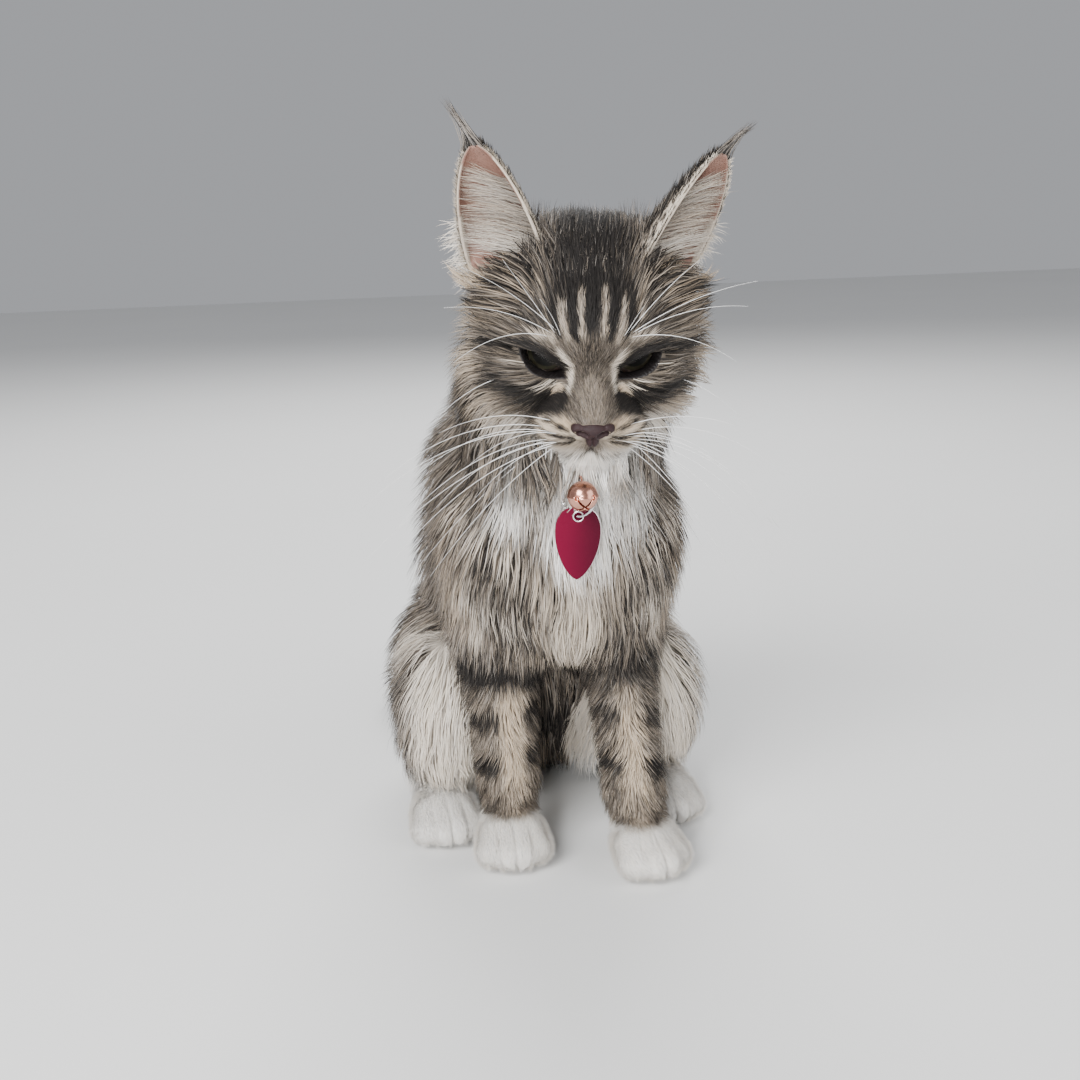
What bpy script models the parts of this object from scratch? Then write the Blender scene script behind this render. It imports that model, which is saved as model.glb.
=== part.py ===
# A young long-haired cat that sits upright on a floor, life size, with its head lowered and turned to one side.
# The cat faces -Y, its left side is +X and the floor is z = 0. Lengths are in millimetres, and the meshes are
# made in metres.
import math

import bmesh
import bpy
import numpy as np
from mathutils import Matrix, Vector
from mathutils.bvhtree import BVHTree

MM = 0.001
GAP = 0.34              # between two nodes that meet
CORE_SHARE = 0.45       # how far from the skin to the coat's tips the cores reach
VOXEL = 2.1             # grid of the first rough skin
BODY_BLEND, LIMB_BLEND, TAIL_BLEND, HEAD_BLEND = 8.0, 2.4, 4.0, 2.6     # how softly the forms run together
JOIN_BLEND = 5.0        # how softly the body, limbs, tail and head do

# The head: its own frame has its origin midway between the eyeballs, -Y towards the nose and +Z up.
EYES_MIDDLE = Vector((6.0, -57.0, 266.5))
HEAD_PITCH, HEAD_YAW, HEAD_ROLL = math.radians(25), math.radians(-8), math.radians(2.5)
HEAD_TURN = (Matrix.Rotation(HEAD_YAW, 3, "Z") @ Matrix.Rotation(HEAD_PITCH, 3, "X")
             @ Matrix.Rotation(HEAD_ROLL, 3, "Y"))
EYE_APART, EYE_RADIUS = 18.2, 10.6
INNER_CORNER, OUTER_CORNER = Vector((7.2, -10.5, -6.4)), Vector((27.6, -0.5, 2.4))
EYE_OUTWARD, SLIT_HALF_HEIGHT = Vector((0.4, -0.9, 0.25)), 4.4
EYE_CLEARANCE, LID_SWELL = 0.54, 2.2
NOSTRIL, NOSTRIL_SIZES, NOSTRIL_TURN = Vector((4.6, -42.0, -17.4)), (2.0, 3.4, 1.15), math.radians(28)
MOUTH_LINE = [(0, -43, -26), (0, -42, -31), (4, -41, -34), (9, -38, -35.5), (14, -32, -34.5), (18.5, -24, -31)]
MOUTH_RADIUS = 0.75

# The ears, in the head's frame: where the base's middle is, how they lean out, and their size.
EAR_BASE = Vector((36.0, 31.0, 24.0))
EAR_LENGTH, EAR_WIDTH, EAR_WALL = 55.5, 39.0, 2.0
EAR_LEAN = {"left": math.radians(25), "right": math.radians(17)}
EAR_TURN = {"left": math.radians(30), "right": math.radians(12)}
EAR_BACK_LEAN = math.radians(-10)
EAR_HEIGHTS = (-0.17, -0.06, 0.06, 0.16, 0.27, 0.4, 0.54, 0.68, 0.81, 0.91, 0.98)      # of its sections
EAR_POINTS_AROUND, EAR_DEPTH, EAR_DEPTH_LOSS = 7, 1.02, 0.35     # how deep the cup is for its half width
EAR_SKEW = 3.5              # how far the opening's outer edge stands back of the inner one
EAR_HOLLOW_START, EAR_HOLLOW_RISE = 0.02, 0.2
EAR_LOCK_START, EAR_LOCK_STEP, EAR_LOCKS, EAR_LOCK_WIDTH, EAR_LOCK_THICKNESS = 0.18, 0.12, 4, 10.5, 1.5
EAR_TIP_TUFT = [(0, 1.6, 0.86), (1.2, 2.6, 1.06), (5.5, 4.6, 1.27), (12.5, 7.0, 1.46)]     # Z in ear lengths
EAR_TUFT_WIDTH, EAR_TUFT_THICKNESS = 6.0, 3.0

# The pose of the limbs, for the cat's left side; the right side has its own feet.
SHOULDER, ELBOW, WRIST_HEIGHT = Vector((29.0, -2.0, 166.0)), Vector((31.0, 15.0, 112.0)), 38.0
FRONT_PAW = {"left": Vector((33.0, -34.0, 11.5)), "right": Vector((-31.0, -9.0, 11.5))}
FRONT_PAW_TURN = {"left": math.radians(14), "right": math.radians(2)}
KNEE = Vector((56.0, 45.0, 66.0))
HIND_TOES = {"left": Vector((58.0, 25.0, 10.5)), "right": Vector((-63.0, 27.0, 10.5))}
HIND_TURN = {"left": math.radians(4), "right": math.radians(-6)}
PAW_LENGTH, PAW_WIDTH, PAW_HEIGHT = 40.0, 31.0, 22.0

# The tail lies on the floor behind, in one loose curl.
TAIL_PATH = [(0, 140, 38), (10, 172, 24), (27, 204, 20), (32, 240, 19), (14, 268, 19), (-16, 274, 19),
             (-42, 256, 19), (-54, 226, 19), (-55, 200, 19)]
TAIL_ROOT_RADIUS, TAIL_END_RADIUS = 15.0, 7.5

# The collar and what hangs from it.
COLLAR_CENTRE, COLLAR_TILT = Vector((3.0, -8.0, 222.0)), math.radians(19)
COLLAR_WIDTH, COLLAR_THICKNESS = 8.0, 2.2
COLLAR_SHARE, COLLAR_DEPTH, COLLAR_STEPS, GROOVE_REACH = 0.45, 0.8, 24, 25.0
RING_CENTRE, RING_RADIUS, RING_WIRE, RING_TURN = Vector((-2.6, -67.0, 201.0)), 8.2, 0.65, math.radians(-42)
BELL_RADIUS, BELL_SLOT = 6.8, 1.5
BELL_FROM_RING = Vector((0.2, -RING_WIRE - BELL_RADIUS - 3.0, 3.2))
HOOK_REACH, HOOK_WIRE, BELL_LOOP_WIRE = 3.6, 0.7, 0.55
TAG_WIDTH, TAG_HEIGHT, TAG_THICKNESS, TAG_HOLE, TAG_HOLE_DROP = 21.0, 34.0, 1.2, 2.3, 4.4
TAG_TURN, TAG_TILT = math.radians(-10), math.radians(3)
TAG_POINT, TAG_TOP, TAG_WIDEST = 0.5, 0.27, 0.611       # how full the tag is towards its point and its top

# Where the body is parted, as outlines in Y and Z. Some reach across the whole cat, others only part of X.
HEAD_REGION = [(-200, 181), (-25, 222), (66, 400), (-200, 400)]
NECK_REGION = [(-120, 160), (120, 250), (120, 400), (-120, 400)]
HINDQUARTERS_REGION = [(-47, -46), (300, -46), (300, 438)]
FORELEG_REGION = [(-110, -40), (31, -40), (31, 122), (-110, 122)]
PAW_REGION = [(-110, -40), (120, -40), (120, 24), (-110, 24)]
HIND_FOOT_REGION = [(-60, -40), (150, -40), (150, 27), (-60, 27)]
TAIL_REGION = [(172, -60), (400, -60), (400, 120), (172, 120)]
TAIL_TIP_REGION = [(180, -60), (234, -60), (234, 120), (180, 120)]
TAIL_MIDDLE_REGION = [(234, -60), (400, -60), (400, 120), (234, 120)]
FLOOR_REGION = [(-400, -200), (400, -200), (400, 0), (-400, 0)]
FAR = 300
FORELEG_REACH = (9, 90)     # how far either foreleg reaches from the middle
TAIL_TIP_EDGE = -24         # the tail's last length lies beyond this X

# How many triangles the smooth cores keep, and which way the eyeballs' poles point.
HEAD_TRIANGLES, BODY_TRIANGLES, HIND_TRIANGLES, NOSE_TRIANGLES = 1700, 2650, 420, 170
EYE_POLE = Matrix.Rotation(math.radians(90), 3, "X")

# The locks of the coat: how many each node gets, how long they are for the coat's length, and their width and
# thickness, all in millimetres.
LOCKS = {
    "head": (18, 1.5, 17.0, 2.8),
    "neck": (22, 1.6, 23.0, 3.8),
    "chest": (22, 1.75, 24.0, 3.8),
    "hindquarters": (16, 1.8, 26.0, 3.8),
    "thigh_left": (7, 1.8, 22.0, 3.4),
    "thigh_right": (7, 1.8, 22.0, 3.4),
    "foreleg_left": (3, 1.8, 11.0, 2.4),
    "foreleg_right": (3, 1.8, 11.0, 2.4),
    "tail_root": (5, 1.5, 22.0, 3.6),
    "tail_middle": (7, 1.5, 22.0, 3.6),
    "tail_tip": (6, 1.45, 18.0, 3.4),
}
LOCK_STATIONS = (0.0, 0.38, 0.74, 1.0)
LOCK_PROFILE = (0.8, 1.0, 0.66)
LOCK_RISE = 0.6         # how fast a lock rises from the core to the tips' level
LOCK_ROOT = 2.6         # how far a root is sunk
SHORTEST_COAT = 11.5    # shorter hair gets no locks
LOCK_CLEARANCE = 0.36
LOCK_ROOT_NEAR, LOWEST_ROOT = 1.2, 6.0      # how close to the core and how far above the floor a root is
LOCK_SWAY = 0.16        # how far locks turn from the lie
LOCK_CANDIDATES = 30    # tries for each lock
LOCK_TRIES = ((1.0, 0), (0.8, 0.45), (0.8, -0.45), (0.6, 0), (0.5, 0.8), (0.5, -0.8))     # length's share, turn

COLOURS = {
    "coat_dark": (0.10, 0.085, 0.075), "coat_grey": (0.30, 0.27, 0.24), "coat_white": (0.78, 0.76, 0.72),
    "ear_skin": (0.55, 0.38, 0.34), "eye": (0.03, 0.035, 0.02), "nose_leather": (0.16, 0.08, 0.08),
    "rose_metal": (0.80, 0.48, 0.38), "steel": (0.75, 0.75, 0.77), "crimson": (0.30, 0.005, 0.05),
    "strap": (0.03, 0.03, 0.035),
}
METALS = {"rose_metal": 1.0, "steel": 1.0, "crimson": 0.6}


def side_sign(side):
    return 1 if side == "left" else -1


def on_side(point, side):
    return Vector((point[0] * side_sign(side), point[1], point[2]))


def head(point):
    """A point of the head's frame, in the cat's frame."""
    return EYES_MIDDLE + HEAD_TURN @ Vector(point)


def mirrored(rows):
    """Each row as it is for the left side, and mirrored for the right."""
    made = []
    for kind, first, second, size, coat, lie in rows:
        for side in ("left", "right"):
            far = on_side(second, side) if kind == "bone" else second
            made.append((kind, on_side(first, side), far, size, coat, on_side(lie, side)))
    return made


# A form is an ellipsoid ("ball": centre, turn in degrees about X, half sizes) or a tapered rod with round ends
# ("bone": first end, second end, the radius at each). Then come the coat's length over it and the hair's lie.
HEAD_MIDDLE_FORMS = [
    ("ball", (0, 34, 8), 0, (31, 37, 28), 10, (0, 1, 0.1)),
    ("ball", (0, 5, 9), 0, (25, 22, 18), 5, (0, 0.8, 0.6)),
    ("ball", (0, -14, -20), 0, (12.5, 20, 10), 3, (0, 0.9, 0.3)),
    ("bone", (0, -2, 4), (0, -31, -13), (9.5, 6.8), 2.5, (0, 0.8, 0.6)),
    ("ball", (0, -34.5, -16), 20, (7.6, 5.5, 6), 1, (0, 0.8, 0.6)),
    ("ball", (0, -24, -36), 0, (10, 9.5, 8), 5, (0, 0.3, -0.9)),
    ("ball", (0, 12, -26), 0, (17, 26, 14), 16, (0, 0.2, -1)),
]
HEAD_SIDE_FORMS = [
    ("ball", (24, 9, -6), 0, (14, 25, 17), 7, (0.7, 0.7, -0.2)),
    ("ball", (25, 20, 10), 0, (15, 24, 17), 12, (0.8, 0.6, 0.1)),
    ("ball", (26, 25, -16), 0, (16, 22, 20), 24, (0.85, 0.3, -0.5)),
    ("ball", (15, 36, 23), 0, (14, 17, 12), 9, (0.1, 0.8, 0.5)),
    ("ball", (10.5, -25, -23.5), 0, (10.8, 11, 8.6), 3, (0.8, 0.6, 0)),
    ("bone", (8, -17, -33), (19, 18, -26), (7, 10), 11, (0.5, 0.4, -0.7)),
    ("bone", (8, -10, 6), (25, 0, 8.5), (4.5, 5), 3, (0.3, 0.6, 0.6)),
    ("ball", (EYE_APART, 0, 0), 0, (11.3, 11.3, 11.3), 1, (1, 0.4, 0)),
    ("bone", (9, -13, -12), (27, -1, -9), (4.5, 5.5), 2.5, (1, 0.5, -0.2)),
]
NECK_FORMS = [
    ("bone", (0, 14, 214), (5, -20, 252), (33, 28), 32, (0, 0.1, -1)),
    ("ball", (2, -18, 204), 0, (25, 20, 30), 27, (0, -0.1, -1)),
    ("bone", (4, 2, 272), (0, 30, 228), (20, 28), 26, (0, 0.4, -0.9)),
]
BODY_MIDDLE_FORMS = [
    ("ball", (-2, 36, 200), 0, (41, 34, 30), 25, (0, 0.5, -0.85)),
    ("ball", (0, -8, 168), 0, (32, 28, 42), 26, (0, -0.05, -1)),
    ("ball", (-2, 52, 152), 0, (48, 42, 48), 27, (0, 0.4, -0.9)),
    ("ball", (0, 84, 106), 0, (45, 42, 48), 25, (0, 0.4, -0.9)),
    ("ball", (0, 114, 60), 0, (40, 38, 44), 22, (0, 0.6, -0.8)),
    ("ball", (0, 130, 44), 0, (32, 26, 32), 20, (0, 0.8, -0.6)),
]
BODY_SIDE_FORMS = [
    ("ball", (25, 4, 168), 0, (17, 28, 36), 18, (0.05, 0.1, -1)),
    ("bone", SHOULDER, ELBOW, (18, 13.5), 13, (0.05, 0.1, -1)),
]
HIND_FORMS = [
    ("ball", (46, 84, 62), -12, (23, 44, 50), 22, (0.15, 0.35, -0.9)),
    ("ball", KNEE, 0, (18, 21, 36), 17, (0.05, 0.0, -1)),
    ("bone", (57, 42, 52), (57, 62, 24), (16, 14), 14, (0.05, -0.1, -1)),
]
NOSE_FORMS = [
    ("ball", (0, -39.6, -17), 0, (6.4, 3.6, 4.0), 0, (0, 1, 0)),
    ("ball", (0, -39.4, -21.5), 0, (2.8, 3.0, 3.8), 0, (0, 1, 0)),
]
NOSE_SIDE_FORMS = [
    ("ball", (5.6, -37.8, -16.8), 0, (3.8, 3.8, 3.3), 0, (0, 1, 0)),
]


def leg_forms(side):
    """The forearm and the paw, down to the toes."""
    paw = FRONT_PAW[side]
    wrist = paw + Vector((-1.5 * side_sign(side), 13.0, WRIST_HEIGHT - paw.z))
    elbow = on_side(ELBOW, side)
    forms = [
        ("bone", elbow, wrist, (14, 10.5), 8, (0, 0.1, -1)),
        ("bone", wrist, paw + Vector((0, 3, 3)), (10.8, 10), 5, (0, -0.3, -1)),
    ]
    return forms + paw_forms(paw, FRONT_PAW_TURN[side] * side_sign(side), 4)


def paw_forms(centre, turn, coat):
    """A paw's pad and its four toes, fanned about the paw's middle."""
    forward = Matrix.Rotation(turn, 3, "Z") @ Vector((0, -1, -0.15))
    forms = [("ball", centre, 0, (PAW_WIDTH * 0.44, PAW_LENGTH * 0.42, PAW_HEIGHT * 0.5), coat, forward)]
    for across, ahead in ((-0.33, 0.3), (-0.12, 0.44), (0.12, 0.44), (0.33, 0.3)):
        toe = Matrix.Rotation(turn, 3, "Z") @ Vector((across * PAW_WIDTH, -ahead * PAW_LENGTH, -2.5))
        heel = Matrix.Rotation(turn, 3, "Z") @ Vector((across * PAW_WIDTH * 0.8, -0.1 * PAW_LENGTH, 2))
        forms.append(("bone", centre + heel, centre + toe, (5.6, 5.3), coat * 0.8, forward))
    return forms


def hind_leg_forms(side):
    forms = []
    for kind, first, second, size, coat, lie in HIND_FORMS:
        far = on_side(second, side) if kind == "bone" else second
        forms.append((kind, on_side(first, side), far, size, coat, on_side(lie, side)))
    toes, heel = HIND_TOES[side], on_side((55, 104, 17), side)
    forms.append(("bone", heel, toes + Vector((0, 6, 2)), (11, 10.5), 7, (0, -0.8, -0.4)))
    return forms + paw_forms(toes, HIND_TURN[side] * side_sign(side), 4)


def tail_forms():
    path = [Vector(p) for p in TAIL_PATH]
    steps = len(path) - 1
    forms = []
    for i in range(steps):
        radii = [TAIL_ROOT_RADIUS + (TAIL_END_RADIUS - TAIL_ROOT_RADIUS) * t / steps for t in (i, i + 1)]
        forms.append(("bone", path[i], path[i + 1], radii, 24, (path[i + 1] - path[i]).normalized()))
    return forms


def in_cat_frame(rows):
    made = []
    for kind, first, second, size, coat, lie in rows:
        far = head(second) if kind == "bone" else second
        made.append((kind, head(first), far, size, coat, HEAD_TURN @ Vector(lie)))
    return made


class Field:
    """The smooth union of groups of forms. Its depth is below zero inside, and it knows the coat over each point."""

    def __init__(self, groups):
        self.groups = []
        for forms, blend, frame in groups:
            rows = []
            for kind, first, second, size, coat, lie in forms:
                lie = np.array(Vector(lie).normalized())
                if kind == "bone":
                    place = np.array(first, float), np.array(second, float)
                else:
                    turn = np.array(frame @ Matrix.Rotation(math.radians(second), 3, "X"))
                    place = np.array(first, float), turn
                rows.append((kind, place, np.array(size, float), coat, lie))
            self.groups.append((rows, blend))

    @staticmethod
    def distance(points, kind, place, size):
        if kind == "bone":
            first, second = place
            along = second - first
            t = np.clip((points - first) @ along / (along @ along), 0, 1)
            apart = np.linalg.norm(points - first - t[:, None] * along, axis=1)
            return apart - size[0] - t * (size[1] - size[0])
        local = (points - place[0]) @ place[1]
        near = np.linalg.norm(local / size, axis=1)
        return near * (near - 1) / np.maximum(np.linalg.norm(local / size ** 2, axis=1), 1e-6)

    def read(self, points):
        """The depth, the coat's length and its lie at each point."""
        found = []
        for rows, blend in self.groups:
            apart = np.array([self.distance(points, kind, place, size) for kind, place, size, _, _ in rows])
            least = apart.min(axis=0)
            share = np.exp((least - apart) / blend)
            total = share.sum(axis=0)
            share /= total
            coats = np.array([row[3] for row in rows]) @ share
            lies = share.T @ np.array([row[4] for row in rows])
            found.append((least - blend * np.log(total), coats, lies))
        depths = np.array([group[0] for group in found])
        least = depths.min(axis=0)
        share = np.exp((least - depths) / JOIN_BLEND)
        total = share.sum(axis=0)
        share /= total
        coats = sum(w * group[1] for w, group in zip(share, found))
        lies = sum(w[:, None] * group[2] for w, group in zip(share, found))
        return least - JOIN_BLEND * np.log(total), coats, lies

    def level(self, points, share):
        depth, coat, _ = self.read(points)
        return depth - share * coat

    def slope(self, points, step=0.4):
        found = np.empty_like(points)
        for axis in range(3):
            shift = np.zeros(3)
            shift[axis] = step
            found[:, axis] = self.read(points + shift)[0] - self.read(points - shift)[0]
        length = np.linalg.norm(found, axis=1, keepdims=True)
        return found / np.maximum(length, 1e-9)

    def settle(self, points, share, rounds=3):
        """The points moved along the slope onto the surface that lies that share of the coat above the skin."""
        points = points.copy()
        for _ in range(rounds):
            points -= self.slope(points) * np.clip(self.level(points, share), -6, 6)[:, None]
        return points


def clear_scene():
    for obj in list(bpy.data.objects):
        bpy.data.objects.remove(obj)


def collection(name):
    made = bpy.data.collections.new(name)
    bpy.context.scene.collection.children.link(made)
    return made


def new_object(name, mesh, where):
    obj = bpy.data.objects.new(name, mesh)
    where.objects.link(obj)
    return obj


def evaluated_mesh(obj):
    bpy.context.view_layer.update()
    graph = bpy.context.evaluated_depsgraph_get()
    return bpy.data.meshes.new_from_object(obj.evaluated_get(graph), depsgraph=graph)


def bake(obj):
    """Puts what the modifiers make into the object's own mesh."""
    mesh = evaluated_mesh(obj)
    obj.modifiers.clear()
    obj.data = mesh
    return obj


def vertex_array(mesh):
    flat = np.empty(len(mesh.vertices) * 3)
    mesh.vertices.foreach_get("co", flat)
    return flat.reshape(-1, 3) / MM


def set_vertices(mesh, points):
    mesh.vertices.foreach_set("co", (points * MM).ravel())
    mesh.update()


def rough_form(bm, row, grow):
    """One form of a field as a closed shape, a little fat so that the union has no gaps."""
    kind, place, size = row[0], row[1], row[2]
    if kind == "ball":
        turn = Matrix(place[1].tolist()).to_4x4()
        matrix = Matrix.Translation(Vector(place[0]) * MM) @ turn @ Matrix.Diagonal((*((size + grow) * MM), 1))
        bmesh.ops.create_icosphere(bm, subdivisions=3, radius=1, matrix=matrix)
        return
    first, second = (Vector(p) for p in place)
    for end, radius in ((first, size[0]), (second, size[1])):
        bmesh.ops.create_icosphere(bm, subdivisions=3, radius=(radius + grow) * MM,
                                   matrix=Matrix.Translation(end * MM))
    along = second - first
    turn = along.to_track_quat("Z", "Y").to_matrix().to_4x4()
    bmesh.ops.create_cone(bm, cap_ends=True, segments=24, radius1=(size[0] + grow) * MM,
                          radius2=(size[1] + grow) * MM, depth=along.length * MM,
                          matrix=Matrix.Translation((first + second) / 2 * MM) @ turn)


def core(name, field, where, share=CORE_SHARE, voxel=VOXEL, groups=None):
    """The closed surface that a field has at that share of its coat, or the part of it round some groups."""
    bm = bmesh.new()
    for rows, _ in field.groups if groups is None else [field.groups[i] for i in groups]:
        for kind, place, size, coat, _ in rows:
            rough_form(bm, (kind, place, size), share * coat + 0.5)
    mesh = bpy.data.meshes.new(name)
    bm.to_mesh(mesh)
    bm.free()
    obj = new_object(name, mesh, where)
    remesh = obj.modifiers.new("union", "REMESH")
    remesh.mode, remesh.voxel_size = "VOXEL", voxel * MM
    bake(obj)
    for _ in range(2):
        set_vertices(obj.data, field.settle(vertex_array(obj.data), share, rounds=2))
        smooth = obj.modifiers.new("even", "SMOOTH")
        smooth.factor, smooth.iterations = 0.5, 2
        bake(obj)
    set_vertices(obj.data, field.settle(vertex_array(obj.data), share, rounds=2))
    return obj


def copy_of(obj, name, where):
    made = obj.copy()
    made.data = obj.data.copy()
    made.name = name
    where.objects.link(made)
    return made


def thinned(obj, triangles):
    count = sum(len(p.vertices) - 2 for p in obj.data.polygons)
    decimate = obj.modifiers.new("fewer", "DECIMATE")
    decimate.ratio = min(1.0, triangles / count)
    decimate.use_collapse_triangulate = True
    return bake(obj)


def boolean(obj, other, operation):
    modifier = obj.modifiers.new(operation.lower(), "BOOLEAN")
    modifier.operation, modifier.solver = operation, "MANIFOLD"
    if isinstance(other, bpy.types.Collection):
        modifier.operand_type, modifier.collection = "COLLECTION", other
    else:
        modifier.object = other
    return bake(obj)


def keep_largest(obj):
    """Leaves only the largest closed surface of a mesh."""
    bm = bmesh.new()
    bm.from_mesh(obj.data)
    left, islands = set(bm.faces), []
    while left:
        island, edge = set(), [left.pop()]
        while edge:
            face = edge.pop()
            island.add(face)
            for loop in face.edges:
                for near in loop.link_faces:
                    if near in left:
                        left.remove(near)
                        edge.append(near)
        islands.append(island)
    islands.sort(key=lambda faces: sum(f.calc_area() for f in faces), reverse=True)
    for island in islands[1:]:
        bmesh.ops.delete(bm, geom=list(island), context="FACES")
    bmesh.ops.triangulate(bm, faces=bm.faces[:])
    bm.to_mesh(obj.data)
    bm.free()
    return obj


def as_cutter(obj):
    obj.hide_render, obj.display_type = True, "WIRE"
    return obj


def grown_outline(outline, amount):
    """A convex outline, counter-clockwise, with each side moved outwards."""
    points = [Vector(p) for p in outline]
    made = []
    for i, point in enumerate(points):
        before = (point - points[i - 1]).normalized()
        after = (points[(i + 1) % len(points)] - point).normalized()
        outward = [Vector((side.y, -side.x)) for side in (before, after)]
        made.append(point + (outward[0] + outward[1]) * amount / (1 + outward[0].dot(outward[1])))
    return made


def prism(name, outline, low, high, where, grow=0.0):
    """A cutter with an outline in Y and Z that reaches across X from low to high, grown on every side."""
    corners = grown_outline(outline, grow)
    bm = bmesh.new()
    rings = [[bm.verts.new(Vector((x, p.x, p.y)) * MM) for p in corners] for x in (low - grow, high + grow)]
    count = len(corners)
    for i in range(count):
        bm.faces.new((rings[0][i], rings[0][(i + 1) % count], rings[1][(i + 1) % count], rings[1][i]))
    bm.faces.new(rings[0])
    bm.faces.new(rings[1])
    bmesh.ops.recalc_face_normals(bm, faces=bm.faces[:])
    mesh = bpy.data.meshes.new(name)
    bm.to_mesh(mesh)
    bm.free()
    return as_cutter(new_object(name, mesh, where))


def part_off(obj, name, outline, low, high, cat, cutters):
    """Takes the part of an object inside a prism off as a new object, with a gap between the two."""
    piece = copy_of(obj, name, cat)
    boolean(piece, prism("inside_" + name, outline, low, high, cutters, -GAP / 2), "INTERSECT")
    boolean(obj, prism("outside_" + name, outline, low, high, cutters, GAP / 2), "DIFFERENCE")
    keep_largest(obj)
    return keep_largest(piece)


def clear_of(obj, other, cutters, amount=GAP * 1.2):
    """Cuts one object clear of another by a little more than the gap."""
    fatter = copy_of(other, "clear_" + obj.name + "_" + other.name, cutters)
    fatter.data.calc_loop_triangles()
    bm = bmesh.new()
    bm.from_mesh(fatter.data)
    bm.normal_update()
    for vert in bm.verts:
        vert.co += vert.normal * amount * MM
    bm.to_mesh(fatter.data)
    bm.free()
    boolean(obj, as_cutter(fatter), "DIFFERENCE")
    return keep_largest(obj)


def material(name):
    made = bpy.data.materials.get(name)
    if made:
        return made
    made = bpy.data.materials.new(name)
    made.use_nodes = True
    shader = made.node_tree.nodes["Principled BSDF"]
    shader.inputs["Base Color"].default_value = (*COLOURS[name], 1)
    shader.inputs["Metallic"].default_value = METALS.get(name, 0.0)
    shader.inputs["Roughness"].default_value = 0.3 if name in METALS or name == "eye" else 0.8
    return made


def finish(obj, name, slot):
    obj.name = name
    obj.data.materials.clear()
    obj.data.materials.append(material(slot))
    return obj


def surface_points(obj, wanted, chance):
    """Points spread over a mesh by area."""
    mesh = obj.data
    mesh.calc_loop_triangles()
    points = vertex_array(mesh)
    faces = np.array([t.vertices[:] for t in mesh.loop_triangles])
    a, b, c = points[faces[:, 0]], points[faces[:, 1]], points[faces[:, 2]]
    area = np.linalg.norm(np.cross(b - a, c - a), axis=1)
    pick = chance.choice(len(faces), wanted, p=area / area.sum())
    u, v = chance.random(wanted), chance.random(wanted)
    over = u + v > 1
    u[over], v[over] = 1 - u[over], 1 - v[over]
    return a[pick] + (b - a)[pick] * u[:, None] + (c - a)[pick] * v[:, None]


def spread(points, count):
    """The indices of points that lie far from one another."""
    chosen = [0]
    apart = np.linalg.norm(points - points[0], axis=1)
    while len(chosen) < min(count, len(points)):
        chosen.append(int(apart.argmax()))
        apart = np.minimum(apart, np.linalg.norm(points - points[chosen[-1]], axis=1))
    return chosen


def lock_paths(field, roots, lengths, aside):
    """Each root's path along the coat's lie, from the core's level to the tips' level, with its normals."""
    paths, normals = [], []
    points = roots.copy()
    done = 0.0
    for station in LOCK_STATIONS:
        share = CORE_SHARE + (1 - CORE_SHARE) * station ** LOCK_RISE
        depth, coat, lie = field.read(points)
        normal = field.slope(points)
        lie = lie - (lie * normal).sum(axis=1, keepdims=True) * normal
        lie /= np.maximum(np.linalg.norm(lie, axis=1, keepdims=True), 1e-6)
        lie += np.cross(normal, lie) * aside[:, None]
        points = points + lie * (lengths * (station - done))[:, None]
        points = field.settle(points, share, rounds=2)
        normal = field.slope(points)
        paths.append(points)
        normals.append(normal)
        done = station
    paths[0] = paths[0] - normals[0] * LOCK_ROOT
    return np.array(paths).transpose(1, 0, 2), np.array(normals).transpose(1, 0, 2)


def lock_shape(path, normals, width, thick, fatter=0.0):
    """A lock as points and faces: a flat ridged strip along its path that tapers to a point."""
    points, faces = [], []
    last = len(path) - 1
    for i in range(last):
        ahead = path[i + 1] - path[max(i - 1, 0)]
        across = np.cross(ahead, normals[i])
        across /= max(np.linalg.norm(across), 1e-6)
        up = np.cross(across, ahead)
        up /= max(np.linalg.norm(up), 1e-6)
        half = width * 0.5 * LOCK_PROFILE[i] + fatter
        low = thick * 0.35 * LOCK_PROFILE[i] + fatter
        high = thick * 0.65 * (0.3 + 0.7 * LOCK_PROFILE[i]) + fatter
        points += [path[i] - across * half - up * low, path[i] + across * half - up * low, path[i] + up * high]
    points.append(path[last])
    for i in range(last - 1):
        for k in range(3):
            a, b = i * 3 + k, i * 3 + (k + 1) % 3
            faces += [(a, b, b + 3), (a, b + 3, a + 3)]
    base = (last - 1) * 3
    for k in range(3):
        faces.append((base + k, base + (k + 1) % 3, base + 3))
    faces.append((0, 2, 1))
    return points, faces


def lock_object(name, points, faces, where):
    mesh = bpy.data.meshes.new(name)
    mesh.from_pydata([tuple(p * MM) for p in points], [], faces)
    bm = bmesh.new()
    bm.from_mesh(mesh)
    bmesh.ops.recalc_face_normals(bm, faces=bm.faces[:])
    bm.to_mesh(mesh)
    bm.free()
    return as_cutter(new_object(name, mesh, where))


def tree_of(points, faces):
    return BVHTree.FromPolygons([Vector(p) for p in points], faces)


def tree_of_node(obj):
    obj.data.calc_loop_triangles()
    return tree_of(vertex_array(obj.data), [tuple(t.vertices) for t in obj.data.loop_triangles])


def fuse(obj, shapes, cutters):
    """Joins the locks to their node in one union."""
    locks = bpy.data.collections.new("locks_" + obj.name)
    cutters.children.link(locks)
    for i, (points, faces) in enumerate(shapes):
        lock_object("lock_{}_{}".format(obj.name, i), points, faces, locks)
    boolean(obj, locks, "UNION")
    for lock in list(locks.objects):
        bpy.data.objects.remove(lock)
    bpy.data.collections.remove(locks)
    return keep_largest(obj)


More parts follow.
